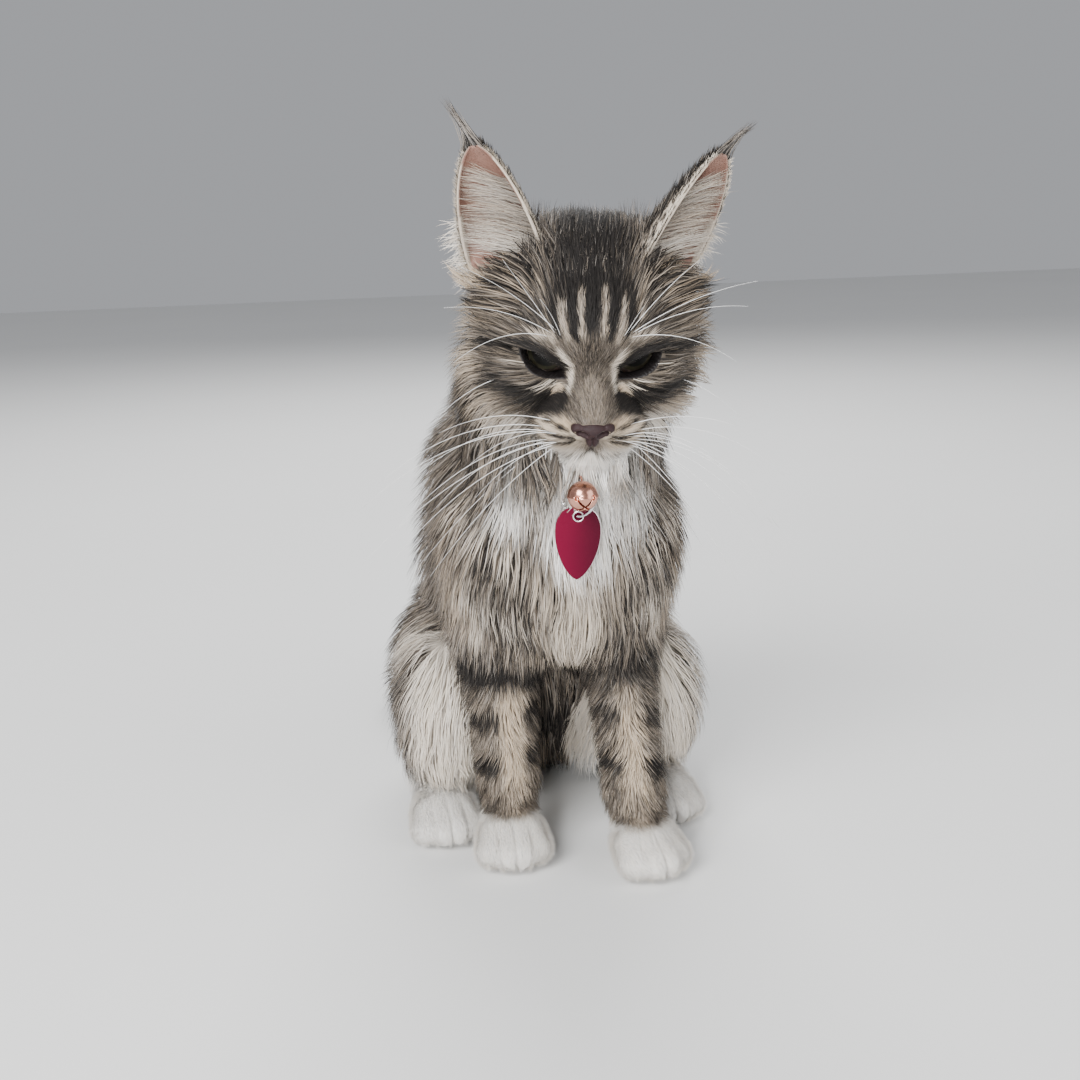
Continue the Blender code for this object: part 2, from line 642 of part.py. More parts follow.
def grow_locks(fields, nodes, cutters):
    """Gives each long-haired node its locks, each kept clear of every other node and of their locks."""
    trees = {name: [tree_of_node(obj)] for name, obj in nodes.items()}
    shapes = {}
    chance = np.random.default_rng(11)
    for name, (count, stretch, width, thick) in LOCKS.items():
        field = fields.get(name, fields["body"])
        points = surface_points(nodes[name], count * LOCK_CANDIDATES, chance)
        depth, coat, _ = field.read(points)
        on_core = abs(depth - CORE_SHARE * coat) < LOCK_ROOT_NEAR
        on_skin = on_core & (coat > SHORTEST_COAT) & (points[:, 2] > LOWEST_ROOT)
        points, coat = points[on_skin], coat[on_skin]
        chosen = spread(points, 2 * count)
        roots, coat = points[chosen], coat[chosen]
        aside = chance.normal(0, LOCK_SWAY, len(roots))
        longer = stretch * chance.uniform(0.88, 1.15, len(roots))
        tries = [lock_paths(field, roots, coat * longer * part, aside + turn)
                 for part, turn in LOCK_TRIES]
        others = [tree for other, found in trees.items() if other != name for tree in found]
        made = []
        for i in range(len(roots)):
            if len(made) == count:
                break
            wide = width * chance.uniform(0.85, 1.15)
            for paths, normals in tries:
                fat = tree_of(*lock_shape(paths[i], normals[i], wide, thick, LOCK_CLEARANCE))
                if not any(fat.overlap(tree) for tree in others):
                    made.append(lock_shape(paths[i], normals[i], wide, thick))
                    break
        trees[name] += [tree_of(*shape) for shape in made]
        shapes[name] = made
    for name, found in shapes.items():
        fuse(nodes[name], found, cutters)


def ear_frame(side):
    sign = side_sign(side)
    turn = (HEAD_TURN @ Matrix.Rotation(EAR_LEAN[side] * sign, 3, "Y") @ Matrix.Rotation(EAR_BACK_LEAN, 3, "X")
            @ Matrix.Rotation(EAR_TURN[side] * sign, 3, "Z"))
    return head(on_side(EAR_BASE, side)), turn


def ear_half_width(up):
    return EAR_WIDTH / 2 * (1 - up ** 1.9) ** 0.62


def ear_bend(up):
    """How far back the ear's middle stands at a height."""
    return 5 * up ** 2 - 3 * up


def ear_locks(side, fatter=0.0):
    """The long hair that crosses the ear's opening from its inner edge, and the tuft at its tip."""
    base, turn = ear_frame(side)
    made = []

    def add(path, normal, width, thick):
        placed = [np.array(base + turn @ on_side(p, side)) for p in path]
        facing = [np.array(turn @ on_side(normal, side))] * len(path)
        made.append(lock_shape(placed, facing, width, thick, fatter))

    for k in range(EAR_LOCKS):
        t = EAR_LOCK_START + EAR_LOCK_STEP * k
        half = ear_half_width(t)
        low, bend = t * EAR_LENGTH, ear_bend(t)
        reach, climb = 9 - 1.8 * k, 2 * k
        path = [
            (-half + 1.0, bend - 2.6, low),
            (-half * 0.3, bend - 3.6, low + 6 + 0.5 * climb),
            (half * 0.45, bend - 1.8, low + 9 + 0.9 * climb),
            (half + reach, bend + 3.5, low + 6 + 1.4 * climb),
        ]
        add(path, (0, -1, 0.1), EAR_LOCK_WIDTH - k, EAR_LOCK_THICKNESS)
    path = [(x, y, up * EAR_LENGTH) for x, y, up in EAR_TIP_TUFT]
    add(path, (0, -1, 0.2), EAR_TUFT_WIDTH, EAR_TUFT_THICKNESS)
    return made


def ball(name, centre, sizes, where, turn=Matrix.Identity(3), segments=24, rings=14):
    """An ellipsoid in the cat's frame."""
    bm = bmesh.new()
    scale = Matrix.Diagonal((*(Vector(sizes) * MM), 1))
    matrix = Matrix.Translation(Vector(centre) * MM) @ turn.to_4x4() @ scale
    bmesh.ops.create_uvsphere(bm, u_segments=segments, v_segments=rings, radius=1, matrix=matrix)
    mesh = bpy.data.meshes.new(name)
    bm.to_mesh(mesh)
    bm.free()
    return new_object(name, mesh, where)


def eye_cutter(side, where):
    """The almond between the lids, pushed through them."""
    inner, outer = on_side(INNER_CORNER, side), on_side(OUTER_CORNER, side)
    outward = on_side(EYE_OUTWARD, side).normalized()
    along = (outer - inner) / 2
    up = along.cross(outward).normalized()
    if up.z < 0:
        up.negate()
    steps = 8
    rim = []
    for i in range(2 * steps):
        t = -1 + 2 * (i if i <= steps else 2 * steps - i) / steps
        lid = (1 - abs(t) ** LID_SWELL) * (1 if i < steps else -1)
        rim.append((inner + outer) / 2 + along * t + up * lid * SLIT_HALF_HEIGHT)
    bm = bmesh.new()
    near, far = ([bm.verts.new(head(p + outward * reach) * MM) for p in rim] for reach in (-3, 18))
    for i in range(len(rim)):
        k = (i + 1) % len(rim)
        bm.faces.new((near[i], near[k], far[k], far[i]))
    bm.faces.new(near)
    bm.faces.new(far)
    bmesh.ops.recalc_face_normals(bm, faces=bm.faces[:])
    mesh = bpy.data.meshes.new("slit_" + side)
    bm.to_mesh(mesh)
    bm.free()
    return as_cutter(new_object("slit_" + side, mesh, where))


def tube(name, path, radius, where, segments=6):
    """A closed round tube along a path."""
    points = [Vector(p) for p in path]
    bm = bmesh.new()
    rings = []
    side = Vector((0, 0, 1))
    for i, point in enumerate(points):
        along = (points[min(i + 1, len(points) - 1)] - points[max(i - 1, 0)]).normalized()
        side = (side - along * side.dot(along)).normalized()
        other = along.cross(side)
        angles = [2 * math.pi * k / segments for k in range(segments)]
        rings.append([bm.verts.new((point + (side * math.cos(a) + other * math.sin(a)) * radius) * MM)
                      for a in angles])
    for first, second in zip(rings, rings[1:]):
        for k in range(segments):
            bm.faces.new((first[k], first[(k + 1) % segments], second[(k + 1) % segments], second[k]))
    bm.faces.new(rings[0])
    bm.faces.new(rings[-1])
    bmesh.ops.recalc_face_normals(bm, faces=bm.faces[:])
    mesh = bpy.data.meshes.new(name)
    bm.to_mesh(mesh)
    bm.free()
    return new_object(name, mesh, where)


def cut_mouth(obj, field, cutters):
    for side in ("left", "right"):
        points = np.array([head(on_side(p, side)) for p in MOUTH_LINE])
        points = field.settle(points, CORE_SHARE, rounds=4)
        groove = as_cutter(tube("mouth_" + side, points, MOUTH_RADIUS, cutters))
        boolean(obj, groove, "DIFFERENCE")


def make_ear(side, where):
    """A cupped ear: each section is a half ring that is solid at the base and hollow in front above it."""
    base, turn = ear_frame(side)
    bm = bmesh.new()
    rings = []
    for t in EAR_HEIGHTS:
        up = max(t, 0)
        half = ear_half_width(up) * (1 - 0.7 * max(-t, 0))
        deep = half * (EAR_DEPTH - EAR_DEPTH_LOSS * up)
        hollow = min(max((t - EAR_HOLLOW_START) / EAR_HOLLOW_RISE, 0), 1)
        wall = min(EAR_WALL, half * 0.45)
        bend = ear_bend(up)
        outer, inner = [], []
        for k in range(EAR_POINTS_AROUND):
            angle = math.pi * (k / (EAR_POINTS_AROUND - 1) - 0.5)
            x, y = half * math.sin(angle), deep * math.cos(angle)
            skew = EAR_SKEW * (x / half) * (1 - up)
            outer.append(Vector((x, y + bend + skew, t * EAR_LENGTH)))
            share = (half - wall) / half
            front = -0.12 * deep * math.cos(angle)
            inner_y = (deep - wall * 1.2) * math.cos(angle) * hollow + front * (1 - hollow)
            inner.append(Vector((x * share, inner_y + bend + skew, t * EAR_LENGTH)))
        ring = outer + inner[::-1]
        rings.append([bm.verts.new((base + turn @ on_side(p, side)) * MM) for p in ring])
    count = len(rings[0])
    for first, second in zip(rings, rings[1:]):
        for k in range(count):
            bm.faces.new((first[k], first[(k + 1) % count], second[(k + 1) % count], second[k]))
    bm.faces.new(rings[0])
    bm.faces.new(rings[-1])
    bmesh.ops.triangulate(bm, faces=bm.faces[:])
    bmesh.ops.recalc_face_normals(bm, faces=bm.faces[:])
    mesh = bpy.data.meshes.new("ear_" + side)
    bm.to_mesh(mesh)
    bm.free()
    return new_object("ear_" + side, mesh, where)


def make_head(whole, field, nodes, cat, cutters):
    body = thinned(copy_of(whole, "body", cat), BODY_TRIANGLES)
    found = copy_of(whole, "head", cat)
    boolean(found, prism("head_rough", HEAD_REGION, -FAR, FAR, cutters, 4), "INTERSECT")
    thinned(found, HEAD_TRIANGLES)
    boolean(found, prism("head_fine", HEAD_REGION, -FAR, FAR, cutters, -GAP / 2), "INTERSECT")
    boolean(body, prism("body_fine", HEAD_REGION, -FAR, FAR, cutters, GAP / 2), "DIFFERENCE")
    keep_largest(body)
    for side in ("left", "right"):
        centre = head(on_side((EYE_APART, 0, 0), side))
        pole = HEAD_TURN @ EYE_POLE
        nodes["eye_" + side] = ball("eye_" + side, centre, [EYE_RADIUS] * 3, cat, pole, 16, 10)
        socket = ball("socket_" + side, centre, [EYE_RADIUS + EYE_CLEARANCE] * 3, cutters, pole, 16, 10)
        boolean(found, as_cutter(socket), "DIFFERENCE")
        boolean(found, eye_cutter(side, cutters), "DIFFERENCE")
        ear = make_ear(side, cat)
        clear_of(found, ear, cutters)
        for i, (points, faces) in enumerate(ear_locks(side, LOCK_CLEARANCE)):
            boolean(found, lock_object("clear_ear_{}_{}".format(side, i), points, faces, cutters), "DIFFERENCE")
        nodes["ear_" + side] = fuse(ear, ear_locks(side), cutters)
        clear_of(found, ear, cutters)
        clear_of(found, ear, cutters, GAP / 3)
    nose_field = Field([(in_cat_frame(NOSE_FORMS + mirrored(NOSE_SIDE_FORMS)), 1.0, HEAD_TURN)])
    nose = thinned(core("nose", nose_field, cat, 0.0, 0.7), NOSE_TRIANGLES)
    for side in ("left", "right"):
        turn = HEAD_TURN @ Matrix.Rotation(NOSTRIL_TURN * side_sign(side), 3, "Y")
        hole = ball("nostril_" + side, head(on_side(NOSTRIL, side)), NOSTRIL_SIZES, cutters, turn, 10, 8)
        boolean(nose, as_cutter(hole), "DIFFERENCE")
    nodes["nose"] = keep_largest(nose)
    clear_of(found, nose, cutters)
    cut_mouth(found, field, cutters)
    nodes["head"] = keep_largest(found)
    return body


def closed_mesh(name, rings, where, caps=False):
    """A mesh from rings of points that follow one another, closed round on itself or by a cap at each end."""
    bm = bmesh.new()
    loops = [[bm.verts.new(Vector(p) * MM) for p in ring] for ring in rings]
    count = len(loops[0])
    for first, second in zip(loops, loops[1:] + ([] if caps else loops[:1])):
        for k in range(count):
            bm.faces.new((first[k], first[(k + 1) % count], second[(k + 1) % count], second[k]))
    if caps:
        bm.faces.new(loops[0])
        bm.faces.new(loops[-1])
    bmesh.ops.triangulate(bm, faces=bm.faces[:])
    bmesh.ops.recalc_face_normals(bm, faces=bm.faces[:])
    mesh = bpy.data.meshes.new(name)
    bm.to_mesh(mesh)
    bm.free()
    return new_object(name, mesh, where)


def torus(name, centre, axes, wire, where, steps=20, sides=6):
    """A ring of round wire in the plane of two axes, whose lengths are its half sizes."""
    first, second = (Vector(a) for a in axes)
    normal = first.cross(second).normalized()
    rings = []
    for k in range(steps):
        a = 2 * math.pi * k / steps
        point = Vector(centre) + first * math.cos(a) + second * math.sin(a)
        along = (second * math.cos(a) - first * math.sin(a)).normalized()
        outward = along.cross(normal)
        rings.append([point + (outward * math.cos(b) + normal * math.sin(b)) * wire
                      for b in (2 * math.pi * i / sides for i in range(sides))])
    return closed_mesh(name, rings, where)


def make_collar(field, nodes, cat, cutters):
    """A band round the neck just inside the coat's core, with a loop in front. Gives back its groove."""
    turn = Matrix.Rotation(COLLAR_TILT, 3, "X")
    angles = [2 * math.pi * k / COLLAR_STEPS for k in range(COLLAR_STEPS)]
    out = [turn @ Vector((math.cos(a), math.sin(a), 0)) for a in angles]
    axis = turn @ Vector((0, 0, 1))
    reaches = np.linspace(12, 90, 200)
    radii = []
    for direction in out:
        levels = field.level(np.array([COLLAR_CENTRE + direction * r for r in reaches]), COLLAR_SHARE)
        radii.append(reaches[np.argmax(levels > 0)])
    even = [(radii[k - 1] + 2 * radii[k] + radii[(k + 1) % COLLAR_STEPS]) / 4 for k in range(COLLAR_STEPS)]

    def band(name, inner, outer, half, where):
        rings = []
        for direction, radius in zip(out, even):
            corners = [(inner, -half), (outer, -half), (outer, half), (inner, half)]
            rings.append([COLLAR_CENTRE + direction * (radius + r) + axis * z for r, z in corners])
        return closed_mesh(name, rings, where)

    inner = -COLLAR_DEPTH - COLLAR_THICKNESS
    collar = band("collar", inner, -COLLAR_DEPTH, COLLAR_WIDTH / 2, cat)
    front = COLLAR_CENTRE + out[COLLAR_STEPS * 3 // 4] * (even[COLLAR_STEPS * 3 // 4] + inner / 2)
    top = RING_CENTRE + Vector((0, 0, RING_RADIUS))
    hook = Vector((top.x, top.y - 2.6, top.z - 0.4))
    reach = hook - Vector((hook.x, front.y, front.z))
    aside = reach.cross(Vector((1, 0, 0))).normalized()
    loop = torus("loop", hook - reach / 2, (reach / 2, aside * HOOK_REACH), HOOK_WIRE, cutters, 12, 5)
    boolean(collar, as_cutter(loop), "UNION")
    nodes["collar"] = keep_largest(collar)
    return as_cutter(band("collar_groove", inner - GAP, GROOVE_REACH, COLLAR_WIDTH / 2 + GAP, cutters))


def tag_outline(steps=14):
    """The tag's edge, up one side from its point and down the other: a pointed oval, widest above its middle."""
    outline = []
    for i in range(2 * steps):
        up = min(i, 2 * steps - i) / steps
        half = TAG_WIDTH / 2 * up ** TAG_POINT * (1 - up) ** TAG_TOP / TAG_WIDEST * (1 if i < steps else -1)
        outline.append(Vector((half, 0, TAG_HEIGHT * (up - 1) + TAG_HOLE_DROP)))
    return outline


def make_hangings(nodes, cat, cutters):
    """The split ring, the bell in front of it and the tag that hangs from it."""
    across = Matrix.Rotation(RING_TURN, 3, "Z") @ Vector((1, 0, 0))
    top = Vector((0, 0, RING_RADIUS))
    nodes["split_ring"] = torus("split_ring", RING_CENTRE, (across * RING_RADIUS, top), RING_WIRE, cat, 18, 5)

    bell_centre = RING_CENTRE + BELL_FROM_RING
    bell = ball("bell", bell_centre, [BELL_RADIUS] * 3, cat, segments=14, rings=8)
    far = RING_CENTRE + top + Vector((0, 1.9, 0.2))
    reach = far - (bell_centre + Vector((0, 3.2, 4.6)))
    side = reach.cross(Vector((1, 0, 0))).normalized() * 1.9
    middle = far + Vector((1.9, 0, 0)) - reach / 2
    loop = torus("bell_loop", middle, (reach / 2, side), BELL_LOOP_WIRE, cutters, 10, 5)
    boolean(bell, as_cutter(loop), "UNION")
    sizes = (BELL_RADIUS * 0.85, BELL_SLOT / 2, 4.2)
    slot = ball("bell_slot", bell_centre - Vector((0, 0, BELL_RADIUS)), sizes, cutters, segments=10, rings=6)
    boolean(bell, as_cutter(slot), "DIFFERENCE")
    nodes["bell"] = keep_largest(bell)

    turn = Matrix.Rotation(TAG_TURN, 3, "Z") @ Matrix.Rotation(TAG_TILT, 3, "Y")
    hole = RING_CENTRE - top
    outline = tag_outline()
    half = Vector((0, TAG_THICKNESS / 2, 0))
    inset = [p * 0.965 + Vector((0, 0, -0.4)) for p in outline]
    edge = half * 0.55
    layers = [[p + half for p in inset], [p + edge for p in outline], [p - edge for p in outline],
              [p - half for p in inset]]
    tag = closed_mesh("tag", [[hole + turn @ p for p in layer] for layer in layers], cat, caps=True)
    rings = [[hole + turn @ Vector((TAG_HOLE * math.cos(a), y, TAG_HOLE * math.sin(a)))
              for a in (2 * math.pi * k / 16 for k in range(16))] for y in (-3, 3)]
    boolean(tag, as_cutter(closed_mesh("tag_hole", rings, cutters, caps=True)), "DIFFERENCE")
    nodes["tag"] = keep_largest(tag)


def stand_in_frame(nodes):
    """Moves the nodes so that the origin is below the middle of their box, on the floor."""
    points = np.concatenate([vertex_array(obj.data) for obj in nodes.values()])
    low, high = points.min(axis=0), points.max(axis=0)
    middle = (low + high) / 2
    for obj in nodes.values():
        obj.data.transform(Matrix.Translation((-middle[0] * MM, -middle[1] * MM, -low[2] * MM)))


def main():
    clear_scene()
    cat = collection("cat")
    cutters = collection("cutters")
    upright = Matrix.Identity(3)
    body_forms = BODY_MIDDLE_FORMS + mirrored(BODY_SIDE_FORMS)
    head_forms = in_cat_frame(HEAD_MIDDLE_FORMS + mirrored(HEAD_SIDE_FORMS))
    field = Field([(NECK_FORMS, BODY_BLEND, upright), (body_forms, BODY_BLEND, upright),
                   (leg_forms("left"), LIMB_BLEND, upright), (leg_forms("right"), LIMB_BLEND, upright),
                   (tail_forms(), TAIL_BLEND, upright), (head_forms, HEAD_BLEND, HEAD_TURN)])
    nodes, fields = {}, {"body": field}
    whole = core("whole", field, cat)
    chest = make_head(whole, field, nodes, cat, cutters)
    bpy.data.objects.remove(whole)
    for side in ("left", "right"):
        low, high = sorted(reach * side_sign(side) for reach in FORELEG_REACH)
        leg = part_off(chest, "foreleg_" + side, FORELEG_REGION, low, high, cat, cutters)
        nodes["forepaw_" + side] = part_off(leg, "forepaw_" + side, PAW_REGION, -FAR, FAR, cat, cutters)
        nodes["foreleg_" + side] = leg
    tail = part_off(chest, "tail_root", TAIL_REGION, -FAR, FAR, cat, cutters)
    nodes["tail_tip"] = part_off(tail, "tail_tip", TAIL_TIP_REGION, -FAR, TAIL_TIP_EDGE, cat, cutters)
    nodes["tail_middle"] = part_off(tail, "tail_middle", TAIL_MIDDLE_REGION, -FAR, FAR, cat, cutters)
    nodes["tail_root"] = tail
    for side in ("left", "right"):
        fields["thigh_" + side] = Field([(hind_leg_forms(side), LIMB_BLEND, upright)])
        leg = thinned(core("thigh_" + side, fields["thigh_" + side], cat), HIND_TRIANGLES)
        clear_of(chest, leg, cutters)
        clear_of(leg, nodes["foreleg_" + side], cutters)
        clear_of(leg, nodes["forepaw_" + side], cutters)
        foot = part_off(leg, "hind_foot_" + side, HIND_FOOT_REGION, -FAR, FAR, cat, cutters)
        nodes["hind_foot_" + side] = foot
        nodes["thigh_" + side] = leg
    nodes["hindquarters"] = part_off(chest, "hindquarters", HINDQUARTERS_REGION, -FAR, FAR, cat, cutters)
    neck = part_off(chest, "neck", NECK_REGION, -FAR, FAR, cat, cutters)
    boolean(neck, make_collar(field, nodes, cat, cutters), "DIFFERENCE")
    nodes["neck"] = keep_largest(neck)
    nodes["chest"] = chest
    make_hangings(nodes, cat, cutters)
    for name in ("collar", "split_ring", "bell", "tag"):
        for near in ("head", "neck", "chest"):
            clear_of(nodes[near], nodes[name], cutters)
    grow_locks(fields, nodes, cutters)
    for name in list(nodes):
        if name.startswith(("forepaw", "hind", "tail", "thigh", "foreleg")):
            boolean(nodes[name], prism("floor_" + name, FLOOR_REGION, -FAR, FAR, cutters), "DIFFERENCE")
            keep_largest(nodes[name])
    slots = {
        "ear": "ear_skin", "eye": "eye", "nose": "nose_leather", "collar": "strap", "forepaw": "coat_white",
        "thigh": "coat_white", "hind": "coat_white", "tag": "crimson", "bell": "rose_metal", "split": "steel",
    }
    for name, obj in nodes.items():
        finish(obj, name, slots.get(name.split("_")[0], "coat_grey"))
    stand_in_frame(nodes)


main()
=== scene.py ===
import math
import time

import bmesh
import bpy
import numpy as np
from mathutils import Matrix, Vector
from mathutils.kdtree import KDTree


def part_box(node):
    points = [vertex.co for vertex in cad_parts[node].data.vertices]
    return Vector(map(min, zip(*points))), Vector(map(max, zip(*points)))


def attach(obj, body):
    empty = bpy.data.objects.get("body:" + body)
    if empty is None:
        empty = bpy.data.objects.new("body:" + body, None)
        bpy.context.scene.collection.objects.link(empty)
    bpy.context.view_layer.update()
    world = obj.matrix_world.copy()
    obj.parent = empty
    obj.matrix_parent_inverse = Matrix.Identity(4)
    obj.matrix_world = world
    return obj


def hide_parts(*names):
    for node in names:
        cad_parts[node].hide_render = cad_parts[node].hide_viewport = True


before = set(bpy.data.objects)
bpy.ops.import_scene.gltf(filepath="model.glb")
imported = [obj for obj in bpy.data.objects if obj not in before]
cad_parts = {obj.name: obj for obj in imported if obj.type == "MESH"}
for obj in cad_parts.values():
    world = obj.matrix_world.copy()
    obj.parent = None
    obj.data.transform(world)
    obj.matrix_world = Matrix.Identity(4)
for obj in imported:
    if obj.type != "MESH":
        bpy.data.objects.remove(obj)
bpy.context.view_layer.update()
started = time.time()
mm = 0.001


def note(*words):
    print("scene", round(time.time() - started, 1), "s:", *words)


def spun(degrees, axis="Z"):
    return Matrix.Rotation(math.radians(degrees), 3, axis)


# Lengths are in millimetres, in the frame that the cat is laid out in: -Y is forward and +X is its left.
headPose = {"middle": Vector((6.0, -57.0, 266.5)), "yaw": -8, "pitch": 25, "roll": 2.5}
headTurn = spun(headPose["yaw"]) @ spun(headPose["pitch"], "X") @ spun(headPose["roll"], "Y")
headRows = np.array(headTurn)
upright = Matrix.Identity(3)
signs = {"left": 1, "right": -1}


def fromHead(point):
    return headPose["middle"] + headTurn @ Vector(point)


def headToCat(points):
    return np.asarray(points, float) @ headRows.T + np.array(headPose["middle"])


def catToHead(points):
    return (points - np.array(headPose["middle"])) @ headRows


eyes = {"apart": 18.2, "radius": 10.6, "inner": (7.2, -10.5, -6.4), "outer": (27.6, -0.5, 2.4),
        "outward": (0.4, -0.9, 0.25), "opening": 4.4, "lidSwell": 2.2,
        "upperLid": 0.88, "lowerLid": 1.08, "gap": 0.25}
eyeLow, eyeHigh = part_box("eye_left")
shift = (eyeLow + eyeHigh) / 2 - fromHead((eyes["apart"], 0, 0)) * mm
shiftRow = np.array(shift)


def flip(point, side):
    return (point[0] * signs[side], point[1], point[2])


def flipForm(form, side):
    kind, first, second, size, coat, lie = form
    second = flip(second, side) if kind == "bone" else second
    return kind, flip(first, side), second, size, coat, flip(lie, side)


def fade(values):
    return np.clip(values, 0, 1)


def bothSides(rows):
    return [flipForm(row, side) for row in rows for side in signs]


# Each form is a ball (centre, turn about X, half sizes) or a bone (two ends, two radii), with the coat's
# length over it and the way the hair lies.
headMiddle = [
    ("ball", (0, 34, 8), 0, (31, 37, 28), 10, (0, 1, 0.1)),
    ("ball", (0, 5, 9), 0, (25, 22, 18), 5, (0, 0.8, 0.6)),
    ("ball", (0, -14, -20), 0, (12.5, 20, 10), 3, (0, 0.9, 0.3)),
    ("bone", (0, -2, 4), (0, -31, -13), (9.5, 6.8), 2.5, (0, 0.8, 0.6)),
    ("ball", (0, -34.5, -16), 20, (7.6, 5.5, 6), 1, (0, 0.8, 0.6)),
    ("ball", (0, -24, -36), 0, (10, 9.5, 8), 5, (0, 0.3, -0.9)),
    ("ball", (0, 12, -26), 0, (17, 26, 14), 16, (0, 0.2, -1)),
]
headSides = [
    ("ball", (24, 9, -6), 0, (14, 25, 17), 9, (0.75, 0.65, -0.2)),
    ("ball", (25, 20, 10), 0, (15, 24, 17), 21, (0.9, 0.45, 0.0)),
    ("ball", (26, 25, -16), 0, (16, 22, 20), 24, (0.85, 0.3, -0.5)),
    ("ball", (15, 36, 23), 0, (14, 17, 12), 12, (0.1, 0.6, 0.8)),
    ("ball", (10.5, -25, -23.5), 0, (10.8, 11, 8.6), 3, (0.8, 0.6, 0)),
    ("bone", (8, -17, -33), (19, 18, -26), (7, 10), 11, (0.5, 0.4, -0.7)),
    ("bone", (8, -10, 6), (25, 0, 8.5), (4.5, 5), 3, (0.3, 0.6, 0.6)),
    ("ball", (18.2, 0, 0), 0, (11.3, 11.3, 11.3), 1, (1, 0.4, 0)),
    ("bone", (9, -13, -12), (27, -1, -9), (4.5, 5.5), 2.5, (1, 0.5, -0.2)),
]
neckForms = [
    ("bone", (0, 14, 214), (5, -20, 252), (33, 28), 32, (0, 0.1, -1)),
    ("ball", (2, -18, 204), 0, (25, 20, 30), 27, (0, -0.1, -1)),
    ("bone", (4, 2, 272), (0, 30, 228), (20, 28), 26, (0, 0.4, -0.9)),
]
bodyMiddle = [
    ("ball", (-2, 36, 200), 0, (41, 34, 30), 25, (0, 0.5, -0.85)),
    ("ball", (0, -8, 168), 0, (32, 28, 42), 26, (0, -0.05, -1)),
    ("ball", (-2, 52, 152), 0, (48, 42, 48), 27, (0, 0.4, -0.9)),
    ("ball", (0, 84, 106), 0, (45, 42, 48), 25, (0, 0.4, -0.9)),
    ("ball", (0, 114, 60), 0, (40, 38, 44), 22, (0, 0.6, -0.8)),
    ("ball", (0, 130, 44), 0, (32, 26, 32), 20, (0, 0.8, -0.6)),
]
bodySides = [
    ("ball", (25, 4, 168), 0, (17, 28, 36), 18, (0.05, 0.1, -1)),
    ("bone", (29, -2, 166), (31, 15, 112), (18, 13.5), 13, (0.05, 0.1, -1)),
]
hindForms = [
    ("ball", (46, 84, 62), -12, (23, 44, 50), 22, (0.15, 0.35, -0.9)),
    ("ball", (56, 45, 66), 0, (18, 21, 36), 17, (0.05, 0.0, -1)),
    ("bone", (57, 42, 52), (57, 62, 24), (16, 14), 14, (0.05, -0.1, -1)),
]
feet = {"front": {"left": (33, -34, 11.5), "right": (-31, -9, 11.5)}, "frontTurn": {"left": 14, "right": -2},
        "hind": {"left": (58, 25, 10.5), "right": (-63, 27, 10.5)}, "hindTurn": {"left": 4, "right": 6},
        "length": 40, "width": 31, "height": 22, "coat": 3.4, "toes": (-0.39, -0.135, 0.135, 0.39),
        "toesAhead": (0.31, 0.45, 0.45, 0.31), "toeRadii": (6.2, 6.3),
        "gaps": (-0.38, -0.26, 0.0, 0.26, 0.38), "groove": 2.0, "grooveWidth": 1.25}
tail = {"thick": 15, "taper": 7.5, "coat": 24, "ring": 26, "darkTip": 45,
        "path": [(0, 140, 38), (10, 172, 24), (27, 204, 20), (32, 240, 19), (14, 268, 19), (-16, 274, 19),
                 (-42, 256, 19), (-54, 226, 19), (-55, 200, 19)]}


def pawForms(centre, turn):
    centre, spin = Vector(centre), spun(turn)
    long, wide, coat = feet["length"], feet["width"], feet["coat"]
    forward = spin @ Vector((0, -1, -0.15))
    forms = [("ball", centre, 0, (wide * 0.44, long * 0.42, feet["height"] * 0.5), coat, forward)]
    for across, ahead in zip(feet["toes"], feet["toesAhead"]):
        toe = centre + spin @ Vector((across * wide, -ahead * long, -2.0))
        heel = centre + spin @ Vector((across * wide * 0.8, -0.1 * long, 3))
        forms.append(("bone", heel, toe, feet["toeRadii"], coat * 0.8, forward))
    return forms


def forelegForms(side):
    paw = Vector(feet["front"][side])
    wrist = paw + Vector((-1.5 * signs[side], 13, 38 - paw.z))
    forms = [("bone", flip((31, 15, 112), side), wrist, (14, 10.5), 8, (0, 0.1, -1)),
             ("bone", wrist, paw + Vector((0, 3, 3)), (10.8, 10), 5, (0, -0.3, -1))]
    return forms + pawForms(paw, feet["frontTurn"][side])


def thighForms(side):
    toes = Vector(feet["hind"][side])
    shank = ("bone", flip((55, 104, 17), side), toes + Vector((0, 6, 2)), (11, 10.5), 7, (0, -0.8, -0.4))
    return [flipForm(row, side) for row in hindForms] + [shank] + pawForms(toes, feet["hindTurn"][side])


def tailForms():
    path = [Vector(p) for p in tail["path"]]
    steps = len(path) - 1
    forms = []
    for i in range(steps):
        radii = [tail["thick"] - tail["taper"] * t / steps for t in (i, i + 1)]
        way = (path[i + 1] - path[i]).normalized()
        forms.append(("bone", path[i], path[i + 1], radii, tail["coat"], way))
    return forms


def headForms():
    made = []
    for kind, first, second, size, coat, lie in headMiddle + bothSides(headSides):
        far = fromHead(second) if kind == "bone" else second
        made.append((kind, fromHead(first), far, size, coat, headTurn @ Vector(lie)))
    return made


def toeGrooves(points):
    # How much deeper the skin lies between the toes.
    deep = np.zeros(len(points))
    for kind in ("front", "hind"):
        for side in signs:
            rel = points - np.array(feet[kind][side])
            near = np.flatnonzero(np.linalg.norm(rel, axis=1) < 34)
            local = rel[near] @ np.array(spun(feet[kind + "Turn"][side]))
            forward = fade((-local[:, 1] / feet["length"] - 0.12) / 0.2)
            for first, second in zip(feet["toes"][:-1], feet["toes"][1:]):
                middle = (first + second) / 2 * feet["width"] * (0.85 + 0.15 * forward)
                away = (local[:, 0] - middle) / feet["grooveWidth"]
                deep[near] += feet["groove"] * forward * np.exp(-away ** 2)
    return deep


